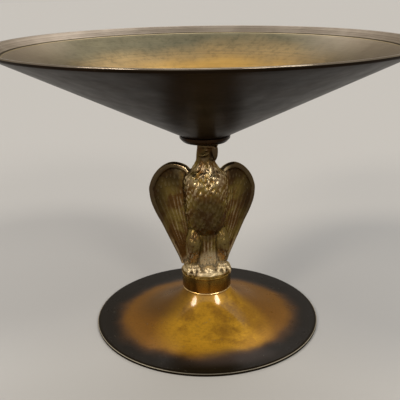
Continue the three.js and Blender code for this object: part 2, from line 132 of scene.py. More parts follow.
def slab(front: np.ndarray, back: np.ndarray) -> Shell:
    """Join a front grid and a back grid of points along their four edges.

    Args:
        front: Points as (row, column, xyz).
        back: Points of the same grid on the other face.

    Returns:
        The closed slab.
    """
    rows, columns = front.shape[:2]
    size = rows * columns
    faces = grid_faces(rows, columns, False, False)
    i, j = np.arange(rows), np.arange(columns)
    rim = np.concatenate([
        i[:-1] * columns,
        (rows - 1) * columns + j[:-1],
        i[:0:-1] * columns + columns - 1,
        j[:0:-1],
    ])
    following = np.roll(rim, -1)
    walls = np.stack([rim, following, following + size, rim + size], axis=1)
    points = np.concatenate([front.reshape(-1, 3), back.reshape(-1, 3)])
    return Shell(points, [faces[:, ::-1], faces + size, walls]).outward()


def through(values: list[tuple[float, ...]], where: np.ndarray) -> np.ndarray:
    """Follow a smooth curve through evenly spaced knots.

    Between two knots the curve is the cubic whose slope at each is half the difference of the knots beside it.

    Args:
        values: The knots, each a tuple of coordinates.
        where: Places along the curve, from 0 at the first knot to 1 at the last.

    Returns:
        One point for each place.
    """
    knots = np.asarray(values, float)
    slopes = np.gradient(knots, axis=0)
    at = np.clip(where, 0, 1) * (len(knots) - 1)
    low = np.minimum(at.astype(int), len(knots) - 2)
    t = (at - low)[..., None]
    return (
        (2 * t**3 - 3 * t**2 + 1) * knots[low]
        + (t**3 - 2 * t**2 + t) * slopes[low]
        + (3 * t**2 - 2 * t**3) * knots[low + 1]
        + (t**3 - t**2) * slopes[low + 1]
    )


def limb(path: list[tuple[float, float, float]], radii: list[float], square_to: tuple[float, float, float],
         rings: int = 48, around: int = 24, swell: float = 0.0, knuckles: int = 0) -> Shell:
    """Carry a round section along a smooth path.

    Args:
        path: Knots of the centre line.
        radii: Knots of the radius, spread evenly along it.
        square_to: A direction that the path stays roughly square to, from which the section's angle is counted.
        rings: How many sections are made.
        around: How many points a section holds.
        swell: How far the radius swells at each knuckle, as a share of it.
        knuckles: How many swellings there are.

    Returns:
        The closed limb.
    """
    t = np.linspace(0, 1, rings)
    centre = through(path, t)
    radius = through([(r,) for r in radii], t)[:, 0] * (1 + swell * np.sin(np.pi * knuckles * t) ** 2)
    along = np.gradient(centre, axis=0)
    along /= np.linalg.norm(along, axis=1, keepdims=True)
    axis = np.asarray(square_to, float)
    side = axis - along * (along @ axis)[:, None]
    side /= np.linalg.norm(side, axis=1, keepdims=True)
    up = np.cross(along, side)
    angle = np.linspace(0, 2 * np.pi, around, endpoint=False)[None, :, None]
    reach = radius[:, None, None]
    return tube(centre[:, None] + reach * (side[:, None] * np.cos(angle) + up[:, None] * np.sin(angle)))


def softened(outline: list[tuple[float, float, float]], steps: int = 5) -> np.ndarray:
    """Round the corners of a closed outline.

    Each corner becomes a curve that leaves one side and meets the next at the corner's own distance from it.

    Args:
        outline: Corners as (radius, height, distance).
        steps: Points on each rounded corner.

    Returns:
        The rounded outline as (radius, height).
    """
    corners = np.asarray(outline, float)
    spot, cut = corners[:, :2], corners[:, 2:]
    before, after = np.roll(spot, 1, axis=0) - spot, np.roll(spot, -1, axis=0) - spot
    start = spot + before / np.linalg.norm(before, axis=1, keepdims=True) * cut
    end = spot + after / np.linalg.norm(after, axis=1, keepdims=True) * cut
    t = np.linspace(0, 1, steps)[None, :, None]
    curve = (1 - t) ** 2 * start[:, None] + 2 * t * (1 - t) * spot[:, None] + t**2 * end[:, None]
    return curve.reshape(-1, 2)


def divided(outline: np.ndarray, longest: float) -> np.ndarray:
    """Split the sides of a closed outline that are longer than a given length into equal parts.

    Args:
        outline: Points as (radius, height).
        longest: The longest side that may stay whole.

    Returns:
        The outline with points added on its long sides.
    """
    following = np.roll(outline, -1, axis=0)
    parts = np.ceil(np.linalg.norm(following - outline, axis=1) / longest).astype(int).clip(1)
    first = np.repeat(np.arange(len(outline)), parts)
    share = (np.arange(parts.sum()) - np.repeat(np.cumsum(parts) - parts, parts)) / parts[first]
    return outline[first] + (following - outline)[first] * share[:, None]


def revolved(outline: np.ndarray, steps: int = 256) -> Shell:
    """Turn a closed outline that stays clear of the Z axis about that axis.

    Args:
        outline: Points as (radius, height).
        steps: Divisions of the full turn.

    Returns:
        The closed ring.
    """
    angle = np.linspace(0, 2 * np.pi, steps, endpoint=False)[None, :]
    radius, height = outline[:, :1], outline[:, 1:]
    rings = np.stack([radius * np.cos(angle), radius * np.sin(angle), height + 0 * angle], axis=2)
    return Shell(rings.reshape(-1, 3), [grid_faces(len(outline), steps, True, True)]).outward()


def make_piece(name: str, shells: list[Shell], crease: float) -> bpy.types.Object:
    """Put shells into one mesh object.

    Args:
        name: The object's name.
        shells: What it is made of, in millimetres.
        crease: The angle in degrees past which an edge is shaded sharp.

    Returns:
        The new object, at the origin, in metres.
    """
    starts = np.cumsum([0] + [len(shell.points) for shell in shells])
    points = np.concatenate([shell.points for shell in shells]) * MM
    faces = [face for shell, start in zip(shells, starts) for group in shell.faces for face in (group + start).tolist()]
    mesh = bpy.data.meshes.new(name)
    mesh.from_pydata(points, [], faces)
    mesh.shade_smooth()
    mesh.set_sharp_from_angle(angle=math.radians(crease))
    mesh.update()
    piece = bpy.data.objects.new(name, mesh)
    bpy.context.collection.objects.link(piece)
    return piece


def settle(piece: bpy.types.Object, node: str) -> None:
    """Fix a piece to the body and let it stand for a CAD node."""
    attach(piece, BODY)
    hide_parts(node)
    LOG.info("%s: %d faces, stands for %s", piece.name, len(piece.data.polygons), node)


# Finishes


def colour(code: str) -> tuple[float, float, float, float]:
    """Turn an sRGB hex code such as #956b15 into linear red, green, blue and alpha."""
    parts = [int(code[i:i + 2], 16) / 255 for i in (1, 3, 5)]
    red, green, blue = (p / 12.92 if p <= 0.04045 else ((p + 0.055) / 1.055) ** 2.4 for p in parts)
    return red, green, blue, 1.0


def add_node(tree: bpy.types.NodeTree, kind: str, settings: Settings, links: Links | None = None) -> bpy.types.Node:
    """Add one node to a tree.

    Args:
        tree: The tree that gets it.
        kind: The node's type, such as ShaderNodeBsdfPrincipled.
        settings: Values by name: a property of the node where it has one, or else an input.
        links: Outputs to plug in, by input name or number.

    Returns:
        The new node.
    """
    node = tree.nodes.new(kind)
    for name, value in settings.items():
        if isinstance(name, str) and hasattr(node, name):
            setattr(node, name, value)
        else:
            node.inputs[name].default_value = value
    for name, output in (links or {}).items():
        tree.links.new(output, node.inputs[name])
    return node


class Tree:
    """A material's node tree, with the few steps that all the finishes share."""

    def __init__(self, name: str) -> None:
        """Make an empty material with the given name."""
        self.material = bpy.data.materials.new(name)
        self.material.use_nodes = True
        self.nodes = self.material.node_tree
        self.nodes.nodes.clear()
        self.place = add_node(self.nodes, "ShaderNodeTexCoord", {}).outputs["Object"]

    def clouds(self, size: float, detail: float = 5.0, stretch: tuple[float, float, float] = (1, 1, 1),
               roughness: float = 0.55) -> bpy.types.NodeSocket:
        """Add soft noise whose patches are about size millimetres across. Return its value, from 0 to 1."""
        mapped = add_node(self.nodes, "ShaderNodeMapping", {"Scale": stretch}, {"Vector": self.place})
        settings = {"Scale": 1 / (size * MM), "Detail": detail, "Roughness": roughness}
        return add_node(self.nodes, "ShaderNodeTexNoise", settings, {"Vector": mapped.outputs[0]}).outputs["Fac"]

    def lathe_marks(self, size: float, detail: float = 3.0) -> bpy.types.NodeSocket:
        """Add noise that changes with the distance from the Z axis alone, with marks about size millimetres wide."""
        away = self.reach((0, 0, 0), (size, size, math.inf))
        settings = {"noise_dimensions": "1D", "Scale": 1.0, "Detail": detail}
        return add_node(self.nodes, "ShaderNodeTexNoise", settings, {"W": away}).outputs["Fac"]

    def ramp(self, value: bpy.types.NodeSocket, low: float, high: float) -> bpy.types.NodeSocket:
        """Add a smooth step that runs from 0 at low to 1 at high."""
        settings = {"interpolation_type": "SMOOTHSTEP", "From Min": low, "From Max": high}
        return add_node(self.nodes, "ShaderNodeMapRange", settings, {"Value": value}).outputs["Result"]

    def math(self, operation: str, first: bpy.types.NodeSocket | float, second: bpy.types.NodeSocket | float,
             clamp: bool = False) -> bpy.types.NodeSocket:
        """Add one sum of two values."""
        settings: Settings = {"operation": operation, "use_clamp": clamp}
        links: Links = {}
        for place, given in enumerate((first, second)):
            kept = links if isinstance(given, bpy.types.NodeSocket) else settings
            kept[place] = given
        return add_node(self.nodes, "ShaderNodeMath", settings, links).outputs[0]

    def blend(self, share: bpy.types.NodeSocket, first: bpy.types.NodeSocket | str,
              second: bpy.types.NodeSocket | str) -> bpy.types.NodeSocket:
        """Add a mix of two colours, each an output or a hex code. The share goes to the second."""
        settings: Settings = {"data_type": "RGBA"}
        links: Links = {0: share}
        for name, given in ((6, first), (7, second)):
            if isinstance(given, str):
                settings[name] = colour(given)
            else:
                links[name] = given
        return add_node(self.nodes, "ShaderNodeMix", settings, links).outputs[2]

    def reach(self, centre: tuple[float, float, float], radii: tuple[float, float, float]) -> bpy.types.NodeSocket:
        """Add the distance from a centre, counted in radii.

        Args:
            centre: The centre, in millimetres.
            radii: The distance along each axis that counts as 1, in millimetres. An endless one leaves its axis out.

        Returns:
            The distance, 1 on the oval with those radii.
        """
        scale = [1 / (radius * MM) for radius in radii]
        shift = [-spot * MM * share for spot, share in zip(centre, scale)]
        settings = {"operation": "MULTIPLY_ADD", 1: scale, 2: shift}
        flat = add_node(self.nodes, "ShaderNodeVectorMath", settings, {0: self.place})
        length = {"operation": "LENGTH"}
        return add_node(self.nodes, "ShaderNodeVectorMath", length, {0: flat.outputs[0]}).outputs["Value"]

    def height(self) -> bpy.types.NodeSocket:
        """Add the height above the floor, in metres."""
        return add_node(self.nodes, "ShaderNodeSeparateXYZ", {}, {0: self.place}).outputs["Z"]

    def relief(self, height: bpy.types.NodeSocket, depth: float,
               under: bpy.types.NodeSocket | None = None) -> bpy.types.NodeSocket:
        """Add a bump whose height of 1 stands depth millimetres high, over the normal given."""
        links: Links = {"Height": height}
        if under is not None:
            links["Normal"] = under
        return add_node(self.nodes, "ShaderNodeBump", {"Strength": 1.0, "Distance": depth * MM}, links).outputs["Normal"]

    def finish(self, settings: Settings, links: Links) -> bpy.types.Material:
        """Add the shader and the output. Return the material."""
        shader = add_node(self.nodes, "ShaderNodeBsdfPrincipled", settings, links)
        add_node(self.nodes, "ShaderNodeOutputMaterial", {}, {"Surface": shader.outputs[0]})
        return self.material


@dataclass(frozen=True)
class LacqueredPatina:
    """Spun bronze, coloured near black with liver of sulphur and lacquered. It is grey where it is seen edge on."""

    name: str = "spun_bronze_black_brown"
    ground: str = "#110b06"
    bloom: str = "#1b120a"
    speck: str = "#33281a"

    def material(self) -> bpy.types.Material:
        """Return the finish as a material."""
        tree = Tree(self.name)
        large = tree.ramp(tree.clouds(26.0, 6.0), 0.36, 0.66)
        small = tree.ramp(tree.clouds(3.2, 4.0), 0.6, 0.76)
        shade = tree.blend(large, self.ground, self.bloom)
        shade = tree.blend(tree.math("MULTIPLY", small, 0.35), shade, self.speck)
        rough = tree.math("ADD", tree.math("MULTIPLY", tree.clouds(9.0, 5.0), 0.22), 0.22)
        normal = tree.relief(tree.lathe_marks(1.4), 0.008, tree.relief(tree.clouds(16.0, 2.0), 0.2))
        settings = {"Specular IOR Level": 0.05, "Specular Tint": colour("#ffdcaa")}
        return tree.finish(settings, {"Base Color": shade, "Roughness": rough, "Normal": normal})


@dataclass(frozen=True)
class RimPatina:
    """The band inside the rim: taupe-brown bronze, rubbed along its lathe marks, with painted shade along
    the crease at its foot.

    The rim's own edge is polished by handling.
    """

    name: str = "spun_bronze_rim_band"
    ground: str = "#6b6053"
    rubbed: str = "#94897a"
    # Painted shade: a dark colour laid along the crease at the foot of the band.
    painted_crease_shade: str = "#1d1812"
    groove_radius: float = 100.4
    edge_radius: float = 107.0

    def material(self) -> bpy.types.Material:
        """Return the finish as a material."""
        tree = Tree(self.name)
        marks = tree.lathe_marks(1.3)
        worn = tree.ramp(tree.clouds(24.0, 5.0), 0.4, 0.66)
        shade = tree.blend(tree.math("ADD", tree.math("MULTIPLY", worn, 0.5), marks), self.ground, self.rubbed)
        away = tree.reach((0, 0, 0), AXIS)
        # Painted shade along the crease where the band meets the cone.
        shade = tree.blend(tree.ramp(away, self.groove_radius + 0.8, self.groove_radius + 0.4), shade, self.painted_crease_shade)
        polish = tree.math("MULTIPLY", tree.ramp(away, self.edge_radius - 0.4, self.edge_radius), 0.25)
        rough = tree.math("ADD", tree.math("MULTIPLY", tree.clouds(7.0, 4.0), 0.16), 0.3)
        rough = tree.math("SUBTRACT", rough, polish)
        normal = tree.relief(marks, 0.03, tree.relief(tree.clouds(16.0, 2.0), 0.15))
        settings = {"Metallic": 0.9, "Specular Tint": colour("#c8c0b4")}
        return tree.finish(settings, {"Base Color": shade, "Roughness": rough, "Normal": normal})


@dataclass(frozen=True)
class DishPatina:
    """The inside of the dish: amber bronze in its depth, and a mottled grey-green patina below the rim band.

    Fine lathe marks run round it. The lip of the band's step is painted lighter, a painted highlight where
    the ledge faces up. A thin lacquer greys it a little where it is seen edge on, and its two sides are painted
    greyer and lighter, a painted reflection.
    """

    name: str = "spun_bronze_olive_gold"
    amber: str = "#93733a"
    tan: str = "#74613f"
    green: str = "#4a4837"
    mottle: str = "#26281b"
    # Painted reflection: the greyer, lighter colour laid on the two sides of the dish.
    sides: str = "#938775"
    # Painted highlight: the lighter colour on the lip of the band's step, where the ledge faces up.
    lip: str = "#85795c"
    amber_radius: float = 70.0
    green_radius: float = 86.0
    lip_radius: float = 99.9

    def material(self) -> bpy.types.Material:
        """Return the finish as a material."""
        tree = Tree(self.name)
        away = tree.reach((0, 0, 0), AXIS)
        drift = tree.math("MULTIPLY", tree.math("SUBTRACT", tree.clouds(52.0, 4.0, roughness=0.5), 0.5), 40)
        place = tree.math("ADD", tree.reach((4, 0, 0), (0.86, 1, math.inf)), drift)
        shade = tree.blend(tree.ramp(place, self.amber_radius - 9, self.amber_radius + 9), self.amber, self.tan)
        shade = tree.blend(tree.ramp(place, self.green_radius - 10, self.green_radius + 10), shade, self.green)
        dapple = tree.math("MULTIPLY", tree.ramp(tree.clouds(3.4, 8.0, roughness=0.72), 0.44, 0.66),
                           tree.ramp(place, self.amber_radius - 20, self.green_radius + 6))
        shade = tree.blend(tree.math("MULTIPLY", dapple, 0.45), shade, self.mottle)
        marks = tree.lathe_marks(1.5)
        shade = tree.blend(tree.math("MULTIPLY", tree.ramp(marks, 0.5, 0.7), 0.2), shade, self.mottle)
        # Painted reflection: the two sides of the dish turn greyer and lighter.
        sides = tree.ramp(tree.reach((0, 0, 0), (1, math.inf, math.inf)), 60, 96)
        shade = tree.blend(tree.math("MULTIPLY", sides, 0.5), shade, self.sides)
        # Painted highlight on the lip of the band's step.
        rubbed = tree.ramp(away, self.lip_radius - 1.0, self.lip_radius - 0.6)
        shade = tree.blend(rubbed, shade, self.lip)
        rough = tree.math("ADD", tree.math("MULTIPLY", tree.clouds(11.0), 0.2), 0.26)
        normal = tree.relief(marks, 0.03, tree.relief(tree.clouds(17.0, 2.0), 0.2))
        settings = {"Metallic": 0.9, "Specular Tint": colour("#c2b5aa"), "Coat Weight": 0.05, "Coat Roughness": 0.2}
        return tree.finish(settings, {"Base Color": shade, "Roughness": rough, "Normal": normal})


@dataclass(frozen=True)
class FootPatina:
    """The spun foot: amber lacquered bronze, purple-brown patches, a blue-black border and an edge worn bright.

    The amber spot is golden in front of the stem and brown behind it. A painted dark reflection lies on it to
    the left of the neck. The lacquer is thick on the front of the neck and worn away elsewhere.
    """

    name: str = "spun_bronze_amber"
    heart: str = "#c8952a"
    brown: str = "#7c531f"
    # Painted reflection: the darker brown laid on the left of the neck.
    painted_dark_reflection: str = "#46331f"
    purple: str = "#48311c"
    border: str = "#1a140b"
    # Painted reflection: the grey-purple patch laid on the front of the border.
    painted_haze_reflection: str = "#5a4d47"
    worn: str = "#c9bfaa"
    radius: float = 63.0
    spot: tuple[float, float, float] = (-1.0, -3.5, 0.0)
    spot_radii: tuple[float, float, float] = (53.5, 48.0, math.inf)

    def material(self) -> bpy.types.Material:
        """Return the finish as a material."""
        tree = Tree(self.name)
        wander = tree.math("SUBTRACT", tree.clouds(22.0, 5.0, roughness=0.5), 0.5)
        place = tree.math("ADD", tree.reach(self.spot, self.spot_radii), tree.math("MULTIPLY", wander, 0.25))
        behind = tree.ramp(tree.reach((0, -24, 0), (32, 30, math.inf)), 0.45, 1.15)
        beside = tree.ramp(tree.reach((34, -28, 0), (17, 15, math.inf)), 1.25, 0.55)
        patches = tree.math("MULTIPLY", tree.ramp(tree.clouds(16.0, 6.0, roughness=0.65), 0.42, 0.62), 0.65)
        patches = tree.math("MAXIMUM", patches, tree.math("MULTIPLY", beside, 0.75))
        shade = tree.blend(tree.math("MAXIMUM", patches, behind), self.heart, self.brown)
        grain = tree.ramp(tree.clouds(1.6, 6.0, roughness=0.7), 0.42, 0.68)
        shade = tree.blend(tree.math("MULTIPLY", grain, 0.25), shade, self.purple)
        marks = tree.ramp(tree.lathe_marks(1.1), 0.48, 0.66)
        shade = tree.blend(tree.math("MULTIPLY", marks, 0.07), shade, self.purple)
        # Painted dark reflection on the left of the neck.
        painted_dark_reflection = tree.ramp(tree.reach((-14, 6, 0), (26, 24, math.inf)), 1.2, 0.6)
        shade = tree.blend(tree.math("MULTIPLY", painted_dark_reflection, 0.6), shade, self.painted_dark_reflection)
        shade = tree.blend(tree.ramp(place, 0.8, 1.02), shade, self.purple)
        border = tree.ramp(place, 0.86, 1.06)
        shade = tree.blend(border, shade, self.border)
        # Painted reflection: a grey-purple patch at the front of the border.
        painted_haze_reflection = tree.ramp(tree.reach((4, -50, 0), (24, 7, math.inf)), 1.4, 0.3)
        shade = tree.blend(tree.math("MULTIPLY", painted_haze_reflection, 0.35), shade, self.painted_haze_reflection)
        dust = tree.ramp(tree.clouds(1.6, 3.0), 0.68, 0.74)
        shade = tree.blend(tree.math("MULTIPLY", dust, 0.3), shade, "#8d8878")
        away = tree.reach((0, 0, 0), AXIS)
        edge = tree.math("MULTIPLY", tree.ramp(away, self.radius - 0.4, self.radius - 0.2),
                         tree.ramp(tree.height(), 1.3 * MM, 1.4 * MM))
        shade = tree.blend(edge, shade, self.worn)
        metal = tree.math("MAXIMUM", edge, tree.math("SUBTRACT", 0.26, border, True))
        rough = tree.math("ADD", tree.math("MULTIPLY", tree.clouds(10.0), 0.2), 0.2)
        lacquer = tree.ramp(tree.reach((0, -22, 0), (17, 13, math.inf)), 1.3, 0.7)
        normal = tree.relief(tree.clouds(1.0, 3.0), 0.01, tree.relief(tree.clouds(15.0, 2.0), 0.22))
        settings = {
            "Specular IOR Level": 0.04,
            "Specular Tint": colour("#f0d8b0"),
            "Coat IOR": 1.6,
            "Coat Roughness": 0.1,
        }
        links = {"Base Color": shade, "Metallic": metal, "Roughness": rough, "Coat Weight": lacquer, "Normal": normal}
        return tree.finish(settings, links)


@dataclass(frozen=True)
class CastPatina:
    """Chased cast bronze: olive-brown, dark where it is hollow and rubbed to gold where it stands proud.

    The patina is darkest on the belly; the head is darker too, and darker again round the beak. The wings'
    shoulders carry painted shade, the dark of their outer edges is partly patina and partly painted shade, and so
    is the dark in the hollows. The tops of the thighs carry painted shade. The mound is rubbed bright. The chest is
    rubbed bright too and carries a painted highlight, and a painted highlight lies on the front of the mound.
    Heights are counted from the perch.
    """

    name: str = "cast_bronze_olive"
    # Colour of the hollows: partly the patina that gathers there, partly painted shade.
    crevice: str = "#150d06"
    # Dark tone: a darker patina on the belly, the head and the wings' outer edges. On the wings' shoulders, the tops of
    # the thighs and part of the outer edges it is painted shade.
    dark: str = "#2a1c0d"
    brown: str = "#60421d"
    olive: str = "#7d6933"
    # Rubbed bronze on the high points and the mound; on the chest and the mound's front it also paints a highlight.
    rubbed: str = "#dcc8a2"
    flange: str = "#6c5426"
    perch: float = 29.4

    def material(self) -> bpy.types.Material:
        """Return the finish as a material. It reads how hollow each spot is from the mesh's own attribute."""
        tree = Tree(self.name)
        hollow = add_node(tree.nodes, "ShaderNodeAttribute", {"attribute_name": "hollow"}).outputs["Fac"]
        grease = tree.math("MULTIPLY", tree.math("SUBTRACT", tree.clouds(5.0, 6.0), 0.5), 0.5)
        depth = tree.math("ADD", hollow, grease)
        height = tree.height()
        aside = tree.reach((0, 0, 0), (1, math.inf, math.inf))
        around_belly = tree.reach((0, 0, self.perch + 34), (12, math.inf, 17))
        belly = tree.math("MULTIPLY", tree.ramp(tree.math("ADD", around_belly, grease), 1.05, 0.5), 0.8)
        # The wings' outer edges are darker: partly patina, partly painted shade.
        outer = tree.ramp(aside, 15, 26)
        # Painted shade on the upper wings away from the body, in the hollow under their rolled edge.
        shoulder = tree.math("MULTIPLY", self.above(tree, height, 40, 54), tree.ramp(aside, 11.5, 15))
        beak = tree.ramp(tree.reach((4.6, -5.4, self.perch + 68.5), (4, 4, 5.5)), 1.1, 0.7)
        head = tree.math("MAXIMUM", tree.math("MULTIPLY", self.above(tree, height, 61.5, 66), 0.75), beak)
        # Where the dark tone lies: darker patina, with painted shade on the shoulders and in part on the outer edges.
        dull = tree.math("MAXIMUM", tree.math("MAXIMUM", belly, shoulder), tree.math("MAXIMUM", outer, head))
        # The chest: rubbed bronze whose pale patches also paint the highlight on the upper chest.
        around_chest = tree.reach((0, 0, self.perch + 58.5), (16, math.inf, 8))
        chest = tree.math("MULTIPLY", tree.ramp(around_chest, 1.15, 0.6), tree.ramp(tree.clouds(7.0, 3.0), 0.4, 0.58))
        sloped = tree.math("ADD", height, tree.math("MULTIPLY", tree.math("MAXIMUM", aside, 9), 0.8 * MM))
        low = self.above(tree, sloped, 16.2, 12.2)
        shade = tree.blend(tree.ramp(tree.clouds(9.0), 0.42, 0.6), self.brown, self.olive)
        # Painted shade on the tops of the thighs, left off where they reach the mound.
        left, right = (tree.ramp(tree.reach((x, -6, self.perch + 20), (5.5, 7, 9)), 1.1, 0.6) for x in (8, -8))
        painted_thigh_shade = tree.math("MULTIPLY", tree.math("MAXIMUM", left, right), 0.45)
        dull = tree.math("MAXIMUM", dull, tree.math("SUBTRACT", painted_thigh_shade, low, True))
        shade = tree.blend(tree.math("MULTIPLY", dull, 0.88), shade, self.dark)
        # Rubbed gold on the high points, stronger on the mound and on the chest, where it partly paints a highlight.
        bright = tree.math("MAXIMUM", tree.math("MULTIPLY", tree.math("MAXIMUM", chest, low), 0.8), 0.4)
        proud = tree.math("MAXIMUM", tree.math("SUBTRACT", bright, dull), 0.05)
        proud = tree.math("MULTIPLY", tree.ramp(depth, 0.5, 0.2), proud)
        # Painted highlight: a pale patch on the front of the mound.
        painted_front_highlight = tree.ramp(tree.reach((1, -9, self.perch + 6), (8, 8, 8.5)), 1.15, 0.6)
        pale = tree.math("MAXIMUM", tree.math("MULTIPLY", low, 0.42), tree.math("MULTIPLY", painted_front_highlight, 0.85))
        pale = tree.math("MAXIMUM", pale, tree.math("MULTIPLY", chest, 0.3))
        shade = tree.blend(tree.math("MAXIMUM", proud, pale), shade, self.rubbed)
        # Dark in the hollows: partly patina, partly painted shade.
        crevice = tree.math("MULTIPLY", tree.ramp(depth, 0.6, 0.95), tree.math("SUBTRACT", 0.6, outer, True))
        shade = tree.blend(crevice, shade, self.crevice)
        shade = tree.blend(self.above(tree, height, 1.4, 1.1), shade, self.flange)
        dry = tree.math("SUBTRACT", tree.math("MULTIPLY", low, 0.22), tree.math("MULTIPLY", chest, 0.1))
        rough = tree.math("ADD", tree.math("MULTIPLY", depth, 0.24, True), tree.math("ADD", dry, 0.2))
        barbs = tree.clouds(0.55, 3.0, (1, 1, 0.22))
        normal = tree.relief(barbs, 0.05, tree.relief(tree.clouds(2.4, 3.0), 0.2))
        settings = {"Metallic": 0.9, "Specular Tint": colour("#b8a878"), "Coat Weight": 0.08, "Coat Roughness": 0.15}
        return tree.finish(settings, {"Base Color": shade, "Roughness": rough, "Normal": normal})

    def above(self, tree: Tree, height: bpy.types.NodeSocket, low: float, high: float) -> bpy.types.NodeSocket:
        """Add a smooth step over a stretch of heights above the perch, in millimetres."""
        return tree.ramp(height, (self.perch + low) * MM, (self.perch + high) * MM)


@dataclass(frozen=True)
class TurnedBronze:
    """Bronze turned on a lathe and lacquered: golden brown, with fine rings and a few darker stains."""

    name: str
    ground: str
    stain: str
    rough: float = 0.24

    def material(self) -> bpy.types.Material:
        """Return the finish as a material."""
        tree = Tree(self.name)
        stain = tree.ramp(tree.clouds(7.0, 5.0, (1, 1, 0.35)), 0.44, 0.68)
        shade = tree.blend(stain, self.ground, self.stain)
        rings = tree.clouds(0.5, 2.0, (0.04, 0.04, 1))
        rough = tree.math("ADD", tree.math("MULTIPLY", tree.clouds(4.0), 0.2), self.rough - 0.1)
        normal = tree.relief(rings, 0.012, tree.relief(tree.clouds(6.0, 2.0), 0.05))
        return tree.finish({"Metallic": 0.95}, {"Base Color": shade, "Roughness": rough, "Normal": normal})


# Round pieces


@dataclass
class Dish:
    """The spun dish: a straight cone with a flat seat, a thin rim and a stepped band inside it."""

    radius: float = 108.0
    seat: float = 107.1
    depth: float = 49.0
    wall: float = 1.6
    seat_radius: float = 12.0
    hole: float = 3.3
    band: float = 6.2
    step: float = 0.5
    edge: float = 0.5

    def outline(self) -> np.ndarray:
        """Return the section, with its corners rounded and its long sides divided."""
        slope = (self.depth - self.wall) / (self.radius - self.seat_radius)
        over = self.wall * math.hypot(1, slope)
        band_inner = self.radius - self.wall - self.band
        top = self.seat + self.depth

        def inside(radius: float) -> float:
            """Return the height of the inner face at a radius."""
            return self.seat + over + (radius - self.seat_radius) * slope

        corners = [
            (self.hole, self.seat, 0.1),
            (self.seat_radius, self.seat, 0.5),
            (self.radius, top - self.wall, self.edge),
            (self.radius, top, self.edge),
            (self.radius - self.wall, top, self.edge),
            (band_inner, inside(band_inner) - self.step, 0.12),
            (band_inner - self.step, inside(band_inner - self.step), 0.15),
            (self.seat_radius - (over - self.wall) / slope, self.seat + self.wall, 2.0),
            (self.hole, self.seat + self.wall, 0.2),
        ]
        return divided(softened(corners), 4.0)

    def build(self) -> None:
        """Make the dish, with one finish outside, one on the rim band and one inside."""
        piece = make_piece("dish", [revolved(self.outline())], 30)
        for finish in (LacqueredPatina(), RimPatina(), DishPatina()):
            piece.data.materials.append(finish.material())
        centres = np.empty(len(piece.data.polygons) * 3)
        piece.data.polygons.foreach_get("center", centres)
        normals = np.empty_like(centres)
        piece.data.polygons.foreach_get("normal", normals)
        radius = np.hypot(centres[0::3], centres[1::3]) / MM
        up = normals[2::3] > 0.2
        lip = centres[2::3] / MM > self.seat + self.depth - 0.7
        band = lip | (up & (radius > self.radius - self.wall - self.band - self.step))
        piece.data.polygons.foreach_set("material_index", np.where(band, 1, np.where(up, 2, 0)).astype(np.int32))
        settle(piece, "bowl")


@dataclass
class Collar:
    """The turned seat between the eagle's head and the dish."""

    bottom: float = 104.1
    height: float = 3.0
    top_radius: float = 13.6
    bottom_radius: float = 11.8
    seat_radius: float = 12.0
    lip_rise: float = 0.39
    hole: float = 3.3

    def build(self) -> None:
        """Make the collar."""
        top = self.bottom + self.height
        corners = [
            (self.hole, self.bottom, 0.1),
            (self.bottom_radius, self.bottom, 0.45),
            (self.top_radius, top + self.lip_rise - self.height / 2, 0.5),
            (self.top_radius, top + self.lip_rise, 0.2),
            (self.seat_radius, top, 0.1),
            (self.hole, top, 0.1),
        ]
        piece = make_piece("collar", [revolved(softened(corners))], 30)
        piece.data.materials.append(TurnedBronze("turned_bronze_dark", "#2e1f12", "#1a110a", 0.3).material())
        settle(piece, "bowl_collar")


@dataclass
class Drum:
    """The short drum that the eagle perches on, with a lip round its top."""

    bottom: float = 20.4
    height: float = 9.0
    radius: float = 14.1
    lip: float = 0.8
    relief: float = 0.35
    hole: float = 3.3

    def build(self) -> None:
        """Make the drum."""
        top = self.bottom + self.height
        inner = self.radius - self.relief
        corners = [
            (self.hole, self.bottom, 0.1),
            (inner, self.bottom, 0.25),
            (inner, top - self.lip - self.relief, 0.1),
            (self.radius, top - self.lip, 0.12),
            (self.radius, top, 0.22),
            (self.hole, top, 0.1),
        ]
        piece = make_piece("drum", [revolved(softened(corners))], 30)
        piece.data.materials.append(TurnedBronze("turned_bronze_golden", "#ac8a40", "#6a5226").material())
        # Painted highlight: the top of the drum's lip gets a slightly lighter finish.
        piece.data.materials.append(TurnedBronze("turned_bronze_lip_painted_highlight", "#b08c44", "#7a5e2c").material())
        centres = np.empty(len(piece.data.polygons) * 3)
        piece.data.polygons.foreach_get("center", centres)
        # Faces on top of the lip take the lighter finish that paints its highlight.
        lip = centres[2::3] / MM > top - 0.3
        piece.data.polygons.foreach_set("material_index", lip.astype(np.int32))
        settle(piece, "perch_drum")


@dataclass
class Bead:
    """The thin bead between the drum and the foot."""

    bottom: float = 19.0
    height: float = 1.4
    radius: float = 13.8
    hole: float = 3.3

    def build(self) -> None:
        """Make the bead."""
        half = self.height / 2
        corners = [
            (self.hole, self.bottom, 0.05),
            (self.radius - half, self.bottom, 0.1),
            (self.radius, self.bottom + half, 0.4),
            (self.radius - half, self.bottom + self.height, 0.1),
            (self.hole, self.bottom + self.height, 0.05),
        ]
        piece = make_piece("bead", [revolved(softened(corners))], 30)
        # Pale polished bronze, made paler still to paint the bright highlight along the bead.
        piece.data.materials.append(TurnedBronze("turned_bronze_bright_painted_highlight", "#e6c88c", "#b08a4c").material())
        settle(piece, "neck_bead")


